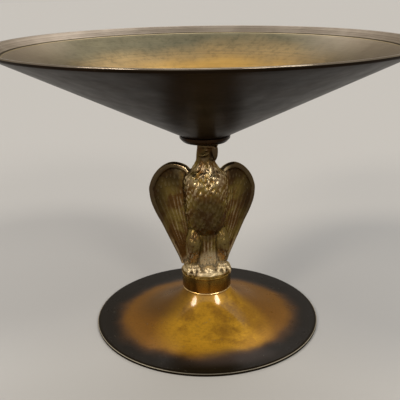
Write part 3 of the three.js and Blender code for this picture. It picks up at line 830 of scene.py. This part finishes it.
@dataclass
class Foot:
    """The spun foot: a trumpet of sheet with a turned-down edge."""

    radius: float = 63.0
    height: float = 19.0
    neck: float = 12.6
    wall: float = 1.4
    edge_height: float = 1.8
    edge_width: float = 2.2
    flare: float = 2.7
    throat: float = 9.0
    hole: float = 3.3

    def outline(self) -> np.ndarray:
        """Return the section.

        The outer face falls from the neck to the edge as the share of the way back from the edge, raised to a power: four
        fifths of it to the flare, and one fifth to the throat, which makes it steep at the neck. The inner face lies one
        wall inside it, square to it.
        """
        radius = self.neck + (self.radius - 0.7 - self.neck) * np.linspace(0, 1, 72) ** 1.6
        share = (self.radius - radius) / (self.radius - self.neck)
        rise = self.height - self.edge_height
        height = self.edge_height + rise * (0.8 * share**self.flare + 0.2 * share**self.throat)
        steep = 0.8 * self.flare * share ** (self.flare - 1) + 0.2 * self.throat * share ** (self.throat - 1)
        slope = -rise * steep / (self.radius - self.neck)
        lean = np.hypot(1, slope)
        outer = np.stack([radius, height], axis=1)
        inner = np.stack([radius + self.wall * slope / lean, height - self.wall / lean], axis=1)
        ceiling = self.height - self.wall
        keep = (inner[:, 1] < ceiling) & (inner[:, 0] > self.hole + self.wall)
        inner = inner[keep & (inner[:, 0] < self.radius - self.edge_width)][::-1]
        rim = [(self.radius, self.edge_height - 0.5), (self.radius, 0.25), (self.radius - 0.25, 0.0)]
        under = [(self.radius - self.edge_width + 0.25, 0.0), (self.radius - self.edge_width, 0.25)]
        top = [(inner[-1, 0], ceiling), (self.hole, ceiling), (self.hole, self.height)]
        return np.concatenate([outer, rim, under, inner, top])

    def build(self) -> None:
        """Make the foot."""
        piece = make_piece("foot_trumpet", [revolved(self.outline())], 40)
        piece.data.materials.append(FootPatina().material())
        settle(piece, "foot")


# The eagle


def feathers(across: np.ndarray, down: np.ndarray, reach: float = 1.75, roundness: float = 0.85) -> np.ndarray:
    """Give the height of rounded feathers that overlap in staggered rows.

    Row k's feathers grow from down = k and reach to down = k + reach, one unit wide and half a unit out of step with
    the rows beside them, with an end that is rounded as an ellipse. A feather rises from its root to its tip and
    lies over the row below it, so the upper of the two rows that cover a spot gives the height there.

    Args:
        across: Place across the feathers, in feather widths.
        down: Place down the feathers, in rows.
        reach: Length of a feather, in rows.
        roundness: How far its sides end above its middle, in rows.

    Returns:
        Heights from 0 to about 1.
    """
    height = np.zeros(np.broadcast(across, down).shape)
    covered = np.zeros(height.shape, bool)
    for back in (1, 0):
        row = np.floor(down) - back
        along = down - row
        side = np.mod(across + 0.5 * np.mod(row, 2), 1) - 0.5
        end = reach - roundness * (1 - np.sqrt(np.clip(1 - (2 * side) ** 2, 0, 1)))
        quill = 0.22 * np.exp(-((side / 0.07) ** 2))
        value = along / reach * (1 - 0.9 * side**2) + quill * along / reach
        take = (along <= end) & ~covered
        height = np.where(take, value, height)
        covered |= take
    return height


def quills(across: np.ndarray, down: np.ndarray) -> np.ndarray:
    """Give the height of long feathers that lie side by side, each lapped over the next.

    Across one feather the height falls as a straight line from its free edge, with a fine ridge for its quill. Slanting
    barbs ripple it.

    Args:
        across: Place across the feathers, in feather widths.
        down: Place down them, in millimetres.

    Returns:
        Heights from 0 to about 1.
    """
    lie = np.mod(across, 1)
    edge = np.clip(lie / 0.12, 0, 1)
    ridge = 0.3 * np.exp(-(((lie - 0.45) / 0.07) ** 2))
    barbs = 0.07 * np.sin(2 * np.pi * (down / 1.3 + 1.4 * np.abs(lie - 0.45)))
    return edge * (1 - 0.75 * lie) + ridge + barbs


@dataclass
class Eagle:
    """The cast eagle: folded wings, a feathered body, a head turned to its left, and feet on a rough mound.

    The wing's arch and edge are its outline's centre line as (reach aside, height above the perch). The arch runs from
    the body over the shoulder, and the edge from there down to the tip.
    """

    perch: float = 29.4
    height: float = 74.7
    head_turn: float = 38.0
    arch: tuple[tuple[float, float], ...] = (
        (8.6, 55.4), (9.9, 58.0), (12.7, 59.1), (15.9, 59.4), (18.5, 58.7), (21.6, 56.8), (24.7, 53.6), (27.0, 49.6),
        (28.3, 45.3),
    )
    edge: tuple[tuple[float, float], ...] = (
        (28.3, 45.3), (28.2, 42.1), (27.7, 38.6), (26.2, 34.1), (24.4, 29.9), (22.1, 25.2), (19.8, 19.6), (17.5, 14.2),
        (15.4, 9.2), (13.6, 4.8), (12.6, 1.2),
    )
    wing_lift: float = 0.9
    feathers_a_wing: int = 10
    quill_relief: float = 0.5
    covert_relief: float = 0.6
    hackle_relief: float = 0.75
    wing_thickness: float = 2.4
    leg_spacing: float = 8.0
    leg_ahead: float = 5.4
    rocks: int = 10
    voxel: float = 0.4

    def up(self, height: float) -> float:
        """Return the height above the floor of a height above the perch."""
        return self.perch + height

    def body(self) -> Shell:
        """Return the trunk and neck.

        Each level is an oval with its own half width, front depth and back depth. Hackles stand square to it on the
        neck and the chest, and die away on the belly and the head.
        """
        levels = [
            (13.0, 2.2, 2.2, 2.2),
            (16.0, 5.6, 5.0, 4.6),
            (21.0, 8.4, 8.0, 6.2),
            (28.5, 10.2, 10.4, 7.2),
            (36.5, 11.2, 11.3, 7.6),
            (44.5, 11.6, 11.4, 7.6),
            (51.0, 11.8, 10.2, 7.4),
            (56.0, 10.7, 8.4, 6.9),
            (60.0, 6.7, 6.6, 6.0),
            (64.0, 4.9, 5.5, 5.3),
            (68.0, 4.4, 5.1, 5.0),
            (71.7, 4.3, 5.1, 5.0),
            (74.6, 4.3, 5.0, 4.9),
        ]
        t = np.linspace(0, 1, 300)[:, None]
        angle = np.linspace(0, 2 * np.pi, 300, endpoint=False)[None, :]
        height, half, front, back = np.moveaxis(through(levels, t), -1, 0)
        ahead = np.cos(angle)
        depth = np.where(ahead > 0, front, back)
        count = 34
        round_it = angle / (2 * np.pi) * count + 0.5 * ripple(angle * 9, height * 0.5)
        rows = (self.height - height) / 4.0 + 0.5 * ripple(angle * 7 + 2, height * 0.42)
        strength = 0.7 + 0.5 * ripple(angle * 11, height * 0.6)
        hackles = self.hackle_relief * strength * feathers(round_it, rows, 1.9, 1.4)
        belly = np.clip(1.5 - 1.5 * np.hypot((height - 31) / 20, angle_from_front(angle) / 1.3), 0, 1)
        crown = np.clip((65.7 - height) / 4, 0, 1)
        relief = hackles * (1 - 0.55 * belly) * crown
        x = (half + relief) * np.sin(angle)
        y = -(depth + relief) * ahead
        return tube(np.stack([x, y, self.up(0) + height + 0 * angle], axis=2))

    def wing(self, lift: float) -> list[Shell]:
        """Return the eagle's left wing: the feathered sheet and the rolled edge that frames it.

        Args:
            lift: How much higher the shoulder stands than on a level pair, in millimetres.

        Returns:
            The sheet and its edge.
        """
        s = np.linspace(0, 1, 190)[None, :]
        d = np.linspace(0, 1, 240)[:, None]
        spot = self.wing_spot(s, d, lift)
        wander = 0.18 * ripple(s * 13, d * 9)
        long = self.quill_relief * quills(s * self.feathers_a_wing + wander, (1 - d) * 60)
        rows = d * 15 + 0.3 * ripple(s * 9, d * 17)
        covert = self.covert_relief * feathers(s * (self.feathers_a_wing + 1) + wander, rows, 1.9, 1.2)
        top = np.clip((0.3 + 0.05 * np.sin(s * 7) - d) / 0.05, 0, 1)
        fade = np.clip(d / 0.04, 0, 1) * np.clip((1 - d) / 0.06, 0, 1)
        relief = (top * covert + (1 - top) * long) * fade
        front, back = spot.copy(), spot.copy()
        front[..., 1] -= relief
        back[..., 1] += self.wing_thickness * (1 - 0.4 * d) + relief
        t = np.linspace(0, 1, 40)
        arch = self.wing_spot(t[None, :], np.zeros((1, 1)), lift)[0]
        edge = self.wing_spot(np.ones((1, 1)), t[1:, None], lift)[:, 0]
        centre = np.concatenate([arch, edge])
        centre[:, 1] += 0.3
        knots = [tuple(point) for point in centre[::3]]
        radii = [1.4, 1.8, 1.9, 1.9, 1.9, 1.8, 1.65, 1.4, 1.15, 0.9]
        return [slab(front, back), limb(knots, radii, (0, 1, 0), 160, 24)]

    def wing_spot(self, s: np.ndarray, d: np.ndarray, lift: float) -> np.ndarray:
        """Return points of the wing's front skin.

        Straight lines run from the arch at the shoulder to the tip. They bow out as the outer edge does, in proportion
        to their place across the wing. The skin sweeps back towards its outer edge, is hollow between, and comes
        forward beside the body.

        Args:
            s: Place across the wing, from 0 at the body to 1 at the outer edge.
            d: Place down the wing, from 0 on the arch to 1 at the tip.
            lift: How much the arch is raised.

        Returns:
            One point for each pair of places.
        """
        arch = through(self.arch, s) + (0, lift)
        first, last = np.array(self.edge[0]), np.array(self.edge[-1])
        bow = through(self.edge, d) - (first + (last - first) * d[..., None])
        tip = np.stack([5.2 + (last[0] - 5.2) * s, 0.9 + (last[1] - 0.9) * s], axis=-1)
        flat = arch * (1 - d[..., None]) + tip * d[..., None] + s[..., None] * bow
        sweep = 9.5 * s * (1 - 0.45 * d)
        hollow = 2.2 * np.sin(np.pi * s) * (1 - 0.6 * d)
        ahead = -6.5 * (1 - s) ** 1.5 * np.sin(np.pi * np.clip(0.12 + d, 0, 1))
        return np.stack([flat[..., 0], 1.6 + sweep + hollow + ahead, self.up(0) + flat[..., 1]], axis=-1)

    def head(self) -> list[Shell]:
        """Return the skull, the hooked beak, the brows, eyes and cheeks, turned with the head."""
        turn = math.radians(self.head_turn)
        ahead = np.array([math.sin(turn), -math.cos(turn), 0.0])
        side = np.array([math.cos(turn), math.sin(turn), 0.0])

        def at(forward: float, sideways: float, height: float) -> tuple[float, float, float]:
            """Return a point of the head by its reach ahead, its reach aside and its height above the perch."""
            spot = ahead * forward + side * sideways
            return float(spot[0]), float(spot[1]), self.up(height)

        levels = [
            (63.7, -0.4, 4.5, 4.8),
            (66.2, 0.2, 4.7, 5.2),
            (68.7, 0.7, 4.8, 5.4),
            (71.2, 1.4, 4.7, 5.7),
            (73.5, 1.6, 4.6, 5.7),
            (74.6, 1.6, 4.4, 5.5),
        ]
        t = np.linspace(0, 1, 60)[:, None]
        angle = np.linspace(0, 2 * np.pi, 90, endpoint=False)[None, :, None]
        height, forward, half, long = np.moveaxis(through(levels, t), -1, 0)[..., None]
        skull = ahead * (forward + long * np.cos(angle)) + side * half * np.sin(angle)
        skull[..., 2] = self.up(0) + height[..., 0]
        beak = limb(
            [at(4.8, 0, 72.0), at(6.4, 0, 71.2), at(7.2, 0, 68.9), at(7.3, 0, 66.7), at(6.9, 0, 64.5)],
            [2.6, 2.2, 1.6, 1.1, 0.3], tuple(side), 40, 24,
        )
        jaw = limb([at(3.8, 0, 66.8), at(5.2, 0, 66.0), at(6.2, 0, 65.5)], [2.0, 1.5, 0.8], tuple(side), 20, 20)
        parts = [tube(skull), beak, jaw]
        for hand in (-1, 1):
            brow = [at(7.0, 1.2 * hand, 72.7), at(5.3, 3.3 * hand, 73.0), at(2.5, 4.4 * hand, 72.8), at(0, 4.5 * hand, 71.8)]
            eye = [at(4.3, 3.7 * hand, 71.0), at(4.7, 4.1 * hand, 71.0), at(5.0, 4.45 * hand, 71.0)]
            cheek = [at(5.2, 2.9 * hand, 69.0), at(3.0, 4.5 * hand, 68.0), at(0.2, 4.9 * hand, 67.6)]
            parts.append(limb(brow, [0.7, 0.9, 0.8, 0.3], (0, 0, 1), 24, 16))
            parts.append(limb(eye, [0.9, 0.85, 0.4], (0, 0, 1), 12, 16))
            parts.append(limb(cheek, [0.6, 0.8, 0.4], (0, 0, 1), 20, 14))
        return parts

    def leg(self) -> list[Shell]:
        """Return the eagle's left leg: the feathered thigh, the shank and four toes with claws."""
        t = np.linspace(0, 1, 110)[:, None]
        angle = np.linspace(0, 2 * np.pi, 84, endpoint=False)[None, :]
        x, y = self.leg_spacing, -self.leg_ahead
        path = [(x - 1.8, y + 2.2, 26.5), (x - 0.6, y + 0.4, 20.0), (x, y, 13.5), (x + 0.3, y + 0.2, 8.0), (x, y, 4.0)]
        centre = through(path, t)
        radius = through([(3.8,), (4.5,), (3.8,), (2.6,), (2.0,)], t)[..., 0]
        place = angle / (2 * np.pi) * 11 + 0.25 * ripple(angle * 4, t * 9)
        tuft = 0.4 * feathers(place, t * 6, 1.9, 1.5) * np.clip((0.9 - t) / 0.15, 0, 1)
        reach = radius + tuft
        spot = [centre[..., 0] + reach * np.sin(angle), centre[..., 1] - reach * np.cos(angle)]
        parts = [tube(np.stack([*spot, self.up(0) + centre[..., 2] + 0 * angle], axis=2))]
        for spread in (-30.0, 4.0, 38.0, 172.0):
            parts += self.toe(spread)
        return parts

    def toe(self, spread: float) -> list[Shell]:
        """Return one knuckled toe and its claw, at an angle in degrees from straight ahead."""
        turn = math.radians(spread)
        ahead = np.array([math.sin(turn), -math.cos(turn)])
        across = (math.cos(turn), math.sin(turn), 0.0)
        long = 5.2 if abs(spread) < 90 else 4.4

        def at(share: float, height: float) -> tuple[float, float, float]:
            """Return a point by its share of the toe's length and its height above the perch."""
            spot = np.array([self.leg_spacing, -self.leg_ahead]) + ahead * long * share
            return float(spot[0]), float(spot[1]), self.up(height)

        pad = limb([at(0, 4.6), at(0.3, 5.2), at(0.65, 4.4), at(0.92, 3.1)], [1.8, 1.6, 1.4, 1.1], across, 40, 20, 0.2, 3)
        claw = limb([at(0.82, 3.6), at(1.04, 3.3), at(1.16, 1.9), at(1.08, 0.4)], [1.0, 0.9, 0.6, 0.2], across, 24, 16)
        return [pad, claw]

    def drape(self, halves: tuple[float, float], depths: tuple[float, float], heights: tuple[float, float],
              feathers_across: int) -> Shell:
        """Return a hanging slab of long feathers.

        Args:
            halves: Its half width at the top and at the bottom.
            depths: How far behind the stem's axis it lies at the top and at the bottom.
            heights: Its heights above the perch at the top and at the bottom.
            feathers_across: How many feathers lie side by side.

        Returns:
            The slab, curved back at its sides.
        """
        s = np.linspace(-1, 1, 110)[None, :]
        d = np.linspace(0, 1, 120)[:, None]
        half = halves[0] + (halves[1] - halves[0]) * d
        x = half * s
        y = depths[0] + (depths[1] - depths[0]) * d + 0.25 * half * s**2
        fall = heights[0] - heights[1]
        z = self.up(heights[0] - fall * d) + 0 * s
        relief = 0.5 * quills((s + 1) * feathers_across / 2, d * fall) * np.clip((1 - np.abs(s)) / 0.1, 0, 1)
        front = np.stack([x, y - 1.3 - relief, z], axis=2)
        back = np.stack([x, y + 1.3 + relief, z], axis=2)
        return slab(front, back)

    def mound(self) -> list[Shell]:
        """Return the rough mound: a low uneven drum with a core for the stud, and rocks round it."""
        share = np.linspace(0, 1, 80)[:, None]
        angle = np.linspace(0, 2 * np.pi, 180, endpoint=False)[None, :]
        profile = [(0.3, 0.0), (13.2, 0.0), (13.8, 0.6), (13.5, 1.5), (12.2, 2.9), (8.6, 3.8), (5.8, 5.0), (4.8, 9.0),
                   (3.0, 13.0), (0.4, 13.4)]
        radius, height = np.moveaxis(through(profile, share), -1, 0)
        rough = 0.35 * ripple(4 * angle + 4, height * 0.4) + 0.25 * ripple(7 * angle + 7, height * 0.7)
        rough = rough * np.clip(share / 0.2, 0, 1) * np.clip((radius - 3) / 3, 0, 1)
        radius = radius + np.clip(rough, -1, 0.4) * np.clip(height, 0, 1)
        height = np.clip(height + rough, 0, None) * np.clip(share * 8, 0, 1)
        parts = [tube(np.stack([radius * np.sin(angle), -radius * np.cos(angle), self.up(0) + height], axis=2))]
        for number in range(self.rocks):
            turn = 2 * math.pi * number / self.rocks
            size = 3.9 if number % 2 == 0 else 2.9
            parts.append(self.rock((8.6 * math.sin(turn), -8.6 * math.cos(turn), 2.6), size, number))
        return parts

    def rock(self, centre: tuple[float, float, float], size: float, seed: int) -> Shell:
        """Return one rough rock.

        Args:
            centre: Its middle, with its height counted from the perch.
            size: Its radius.
            seed: A number that sets its roughness apart from the others'.

        Returns:
            A ball pushed in and out by waves of two lengths.
        """
        down = np.linspace(0.02, 0.98, 40)[:, None] * np.pi
        angle = np.linspace(0, 2 * np.pi, 60, endpoint=False)[None, :]
        wave = 0.12 * ripple(3 * angle + seed, down * 4) + 0.06 * ripple(8 * angle + seed, down * 9)
        radius = size * (1 + wave)
        x = centre[0] + radius * np.sin(down) * np.sin(angle)
        y = centre[1] - radius * np.sin(down) * np.cos(angle)
        z = self.up(centre[2]) + 0.75 * radius * np.cos(down)
        return tube(np.stack([x, y, z.clip(self.perch)], axis=2))

    def build(self) -> None:
        """Fuse the parts into one skin, mark how hollow it is and make the piece."""
        tail = self.drape((6.2, 8.8), (6.0, 8.4), (32.0, 0.8), 5)
        vent = self.drape((6.6, 6.6), (-7.8, -6.0), (23.5, 3.0), 7)
        parts = [self.body(), tail, vent, *self.mound(), *self.head()]
        parts += self.wing(-self.wing_lift)
        parts += [shell.mirrored() for shell in self.wing(self.wing_lift)]
        for shell in self.leg():
            parts += [shell, shell.mirrored()]
        rough = make_piece("eagle_parts", parts, 180)
        fuse = rough.modifiers.new("fuse", "REMESH")
        fuse.mode = "VOXEL"
        fuse.voxel_size = self.voxel * MM
        mesh = bpy.data.meshes.new_from_object(rough.evaluated_get(bpy.context.evaluated_depsgraph_get()))
        bpy.data.objects.remove(rough)
        mesh.name = "eagle"
        drop_specks(mesh)
        mesh.shade_smooth()
        mark_hollows(mesh, 14, 0.2)
        piece = bpy.data.objects.new("eagle", mesh)
        bpy.context.collection.objects.link(piece)
        piece.data.materials.append(CastPatina().material())
        settle(piece, "eagle_figure")


def ripple(first: np.ndarray, second: np.ndarray) -> np.ndarray:
    """Give smooth irregular waves over two coordinates, from about -1 to 1. It is whole over a full turn of the first
    coordinate where that is a whole number of times the angle."""
    slow = np.sin(first + 1.7 * np.sin(second * 1.3 + 0.6)) * np.cos(second + 0.9)
    quick = np.sin(2 * first - 2.1 * second + 1.1)
    return 0.65 * slow + 0.35 * quick


def angle_from_front(angle: np.ndarray) -> np.ndarray:
    """Return how far an angle is from 0 either way, in radians."""
    return np.abs(np.mod(angle + np.pi, 2 * np.pi) - np.pi)


def edge_ends(mesh: bpy.types.Mesh) -> tuple[np.ndarray, np.ndarray]:
    """Return the numbers of the corners at both ends of every edge, each edge once from either end."""
    edges = np.empty(len(mesh.edges) * 2, np.int32)
    mesh.edges.foreach_get("vertices", edges)
    a, b = edges.reshape(-1, 2).T
    return np.concatenate([a, b]), np.concatenate([b, a])


def drop_specks(mesh: bpy.types.Mesh) -> None:
    """Keep only the largest connected part of a mesh.

    Each corner takes the lowest number among its own and its neighbours', over and over, until every connected part
    shares one number.

    Args:
        mesh: The mesh to clean.
    """
    ends, others = edge_ends(mesh)
    label = np.arange(len(mesh.vertices))
    settled = False
    while not settled:
        lowest = label.copy()
        np.minimum.at(lowest, ends, label[others])
        lowest = lowest[lowest]
        settled = np.array_equal(lowest, label)
        label = lowest
    specks = np.flatnonzero(label != np.bincount(label).argmax())
    work = bmesh.new()
    work.from_mesh(mesh)
    work.verts.ensure_lookup_table()
    bmesh.ops.delete(work, geom=[work.verts[i] for i in specks], context="VERTS")
    work.to_mesh(mesh)
    work.free()


def mark_hollows(mesh: bpy.types.Mesh, rounds: int, depth: float) -> None:
    """Store on each corner how hollow the surface is there.

    The mesh is smoothed by moving each corner to the mean of its neighbours, several times over. A corner that lies
    below the smoothed surface is in a hollow, and one above it stands proud.

    Args:
        mesh: The mesh to mark.
        rounds: How often it is smoothed.
        depth: The depth in millimetres that counts as fully hollow.
    """
    count = len(mesh.vertices)
    points = np.empty(count * 3)
    mesh.vertices.foreach_get("co", points)
    points = points.reshape(-1, 3) / MM
    normals = np.empty(count * 3, np.float32)
    mesh.vertex_normals.foreach_get("vector", normals)
    ends, others = edge_ends(mesh)
    neighbours = np.bincount(ends, minlength=count).clip(1)
    smooth = points
    for _ in range(rounds):
        smooth = np.stack([np.bincount(ends, smooth[others, k], count) / neighbours for k in range(3)], axis=1)
    hollow = np.einsum("ij,ij->i", smooth - points, normals.reshape(-1, 3))
    value = np.clip(0.5 + 0.5 * hollow / depth, 0, 1).astype(np.float32)
    mesh.attributes.new("hollow", "FLOAT", "POINT").data.foreach_set("value", value)


# Fasteners


class Fastener(Enum):
    """The CAD nodes that keep their own shape."""

    BOWL_SCREW = "bowl_screw"
    BOWL_WASHER = "bowl_washer"
    FOOT_WASHER = "foot_washer"
    FOOT_NUT = "foot_nut"
    FOOT_STUD = "foot_stud"


class Fasteners:
    """The screw, stud, nut and washers, in dull turned brass."""

    def build(self) -> None:
        """Dress the CAD nodes."""
        material = TurnedBronze("turned_brass_dull", "#a8874a", "#6f5730", 0.36).material()
        for fastener in Fastener:
            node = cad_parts[fastener.value]
            node.data.materials.clear()
            node.data.materials.append(material)
            LOG.info("%s: CAD node kept", fastener.value)


# Surroundings


@dataclass
class Studio:
    """A plain pale floor, soft lamps and the camera at the photograph's angle.

    The camera's place comes from the ellipses of the rim and the foot: distance from the stem, height, the angle that
    it looks down, its roll and how far it looks aside.
    """

    azimuth: float = -8.5
    distance: float = 336.9
    camera_height: float = 186.0
    down: float = 18.9
    roll: float = -0.9
    aside: float = -0.53
    focal: float = 648.2
    frame_width: float = 400.0
    sensor: float = 36.0
    floor_size: float = 12000.0
    floor_shade: str = "#c5c2bc"
    air_shade: str = "#c6c1b9"

    def camera(self) -> None:
        """Make the camera and let the scene use it."""
        data = bpy.data.cameras.new("camera")
        data.sensor_width = self.sensor
        data.lens = self.focal / self.frame_width * self.sensor
        camera = bpy.data.objects.new("camera", data)
        bpy.context.collection.objects.link(camera)
        turn, look, pitch, roll = (math.radians(v) for v in (self.azimuth, self.aside, self.down, self.roll))
        heading = look - turn
        ahead = Vector((math.sin(heading) * math.cos(pitch), math.cos(heading) * math.cos(pitch), -math.sin(pitch)))
        right = Vector((math.cos(heading), -math.sin(heading), 0))
        up = right.cross(ahead)
        level = Matrix((right, up, -ahead)).transposed()
        camera.matrix_world = (level @ Matrix.Rotation(roll, 3, "Z")).to_4x4()
        camera.location = (
            math.sin(turn) * self.distance * MM,
            -math.cos(turn) * self.distance * MM,
            self.camera_height * MM,
        )
        bpy.context.scene.camera = camera

    def floor(self) -> None:
        """Make the floor, whose pale colour runs into that of the air for the camera and in reflections."""
        half = self.floor_size / 2 * MM
        mesh = bpy.data.meshes.new("floor")
        mesh.from_pydata([(-half, -half, 0), (half, -half, 0), (half, half, 0), (-half, half, 0)], [], [(0, 1, 2, 3)])
        floor = bpy.data.objects.new("floor", mesh)
        bpy.context.collection.objects.link(floor)
        tree = Tree("pale_floor")
        grain = tree.clouds(3.0, 2.0)
        shade = tree.blend(tree.math("MULTIPLY", grain, 0.08), self.floor_shade, "#b4afa7")
        floor.data.materials.append(tree.finish({"Roughness": 1.0, "Specular IOR Level": 0.0}, {"Base Color": shade}))

    def air(self) -> None:
        """Light the scene evenly from all round. The camera and reflections see a pale backdrop instead."""
        world = bpy.data.worlds.new("air")
        world.use_nodes = True
        bpy.context.scene.world = world
        tree = world.node_tree
        tree.nodes.clear()
        path = add_node(tree, "ShaderNodeLightPath", {}).outputs
        seen = add_node(tree, "ShaderNodeBackground", {"Color": colour(self.air_shade), "Strength": 1.0})
        lit = add_node(tree, "ShaderNodeBackground", {"Color": colour("#f0f1f4"), "Strength": 0.38})
        share = path["Is Camera Ray"]
        for ray in ("Is Glossy Ray", "Is Transmission Ray"):
            share = add_node(tree, "ShaderNodeMath", {"operation": "MAXIMUM"}, {0: share, 1: path[ray]}).outputs[0]
        mix = add_node(tree, "ShaderNodeMixShader", {}, {0: share, 1: lit.outputs[0], 2: seen.outputs[0]})
        add_node(tree, "ShaderNodeOutputWorld", {}, {"Surface": mix.outputs[0]})

    def lamp(self, name: str, side: float, lift: float, spread: float, power: float, shade: str) -> None:
        """Make one soft distant lamp, so the floor is as bright far off as it is near.

        Args:
            name: Its name.
            side: Its angle round the object from the camera, in degrees.
            lift: Its angle above the floor, in degrees.
            spread: How wide it looks from the object, in degrees.
            power: Its strength.
            shade: Its colour.
        """
        data = bpy.data.lights.new(name, "SUN")
        data.angle = math.radians(spread)
        data.energy = power
        data.color = colour(shade)[:3]
        lamp = bpy.data.objects.new(name, data)
        bpy.context.collection.objects.link(lamp)
        turn, rise = math.radians(self.azimuth + side), math.radians(lift)
        back = Vector((math.sin(turn) * math.cos(rise), -math.cos(turn) * math.cos(rise), math.sin(rise)))
        lamp.location = back
        lamp.rotation_mode = "QUATERNION"
        lamp.rotation_quaternion = (-back).to_track_quat("-Z", "Y")

    def build(self) -> None:
        """Make all of the surroundings."""
        self.camera()
        self.floor()
        self.air()
        self.lamp("lamp_left", -68, 48, 16, 0.85, "#fff6ea")
        self.lamp("lamp_right", 56, 48, 16, 0.75, "#fffaf2")
        self.lamp("lamp_low_left", -42, 29, 13, 0.62, "#fff6ea")
        self.lamp("lamp_low_right", 28, 29, 14, 0.5, "#fffaf2")
        self.lamp("lamp_behind", 176, 46, 26, 0.8, "#f4f6ff")
        bpy.context.scene.view_settings.view_transform = "Standard"


def main() -> None:
    """Build each sub-assembly in order, then the surroundings."""
    logging.basicConfig(level=logging.INFO, format="%(name)s %(message)s")
    for part in (Dish(), Collar(), Eagle(), Drum(), Bead(), Foot(), Fasteners(), Studio()):
        part.build()


if __name__ == "__main__":
    main()
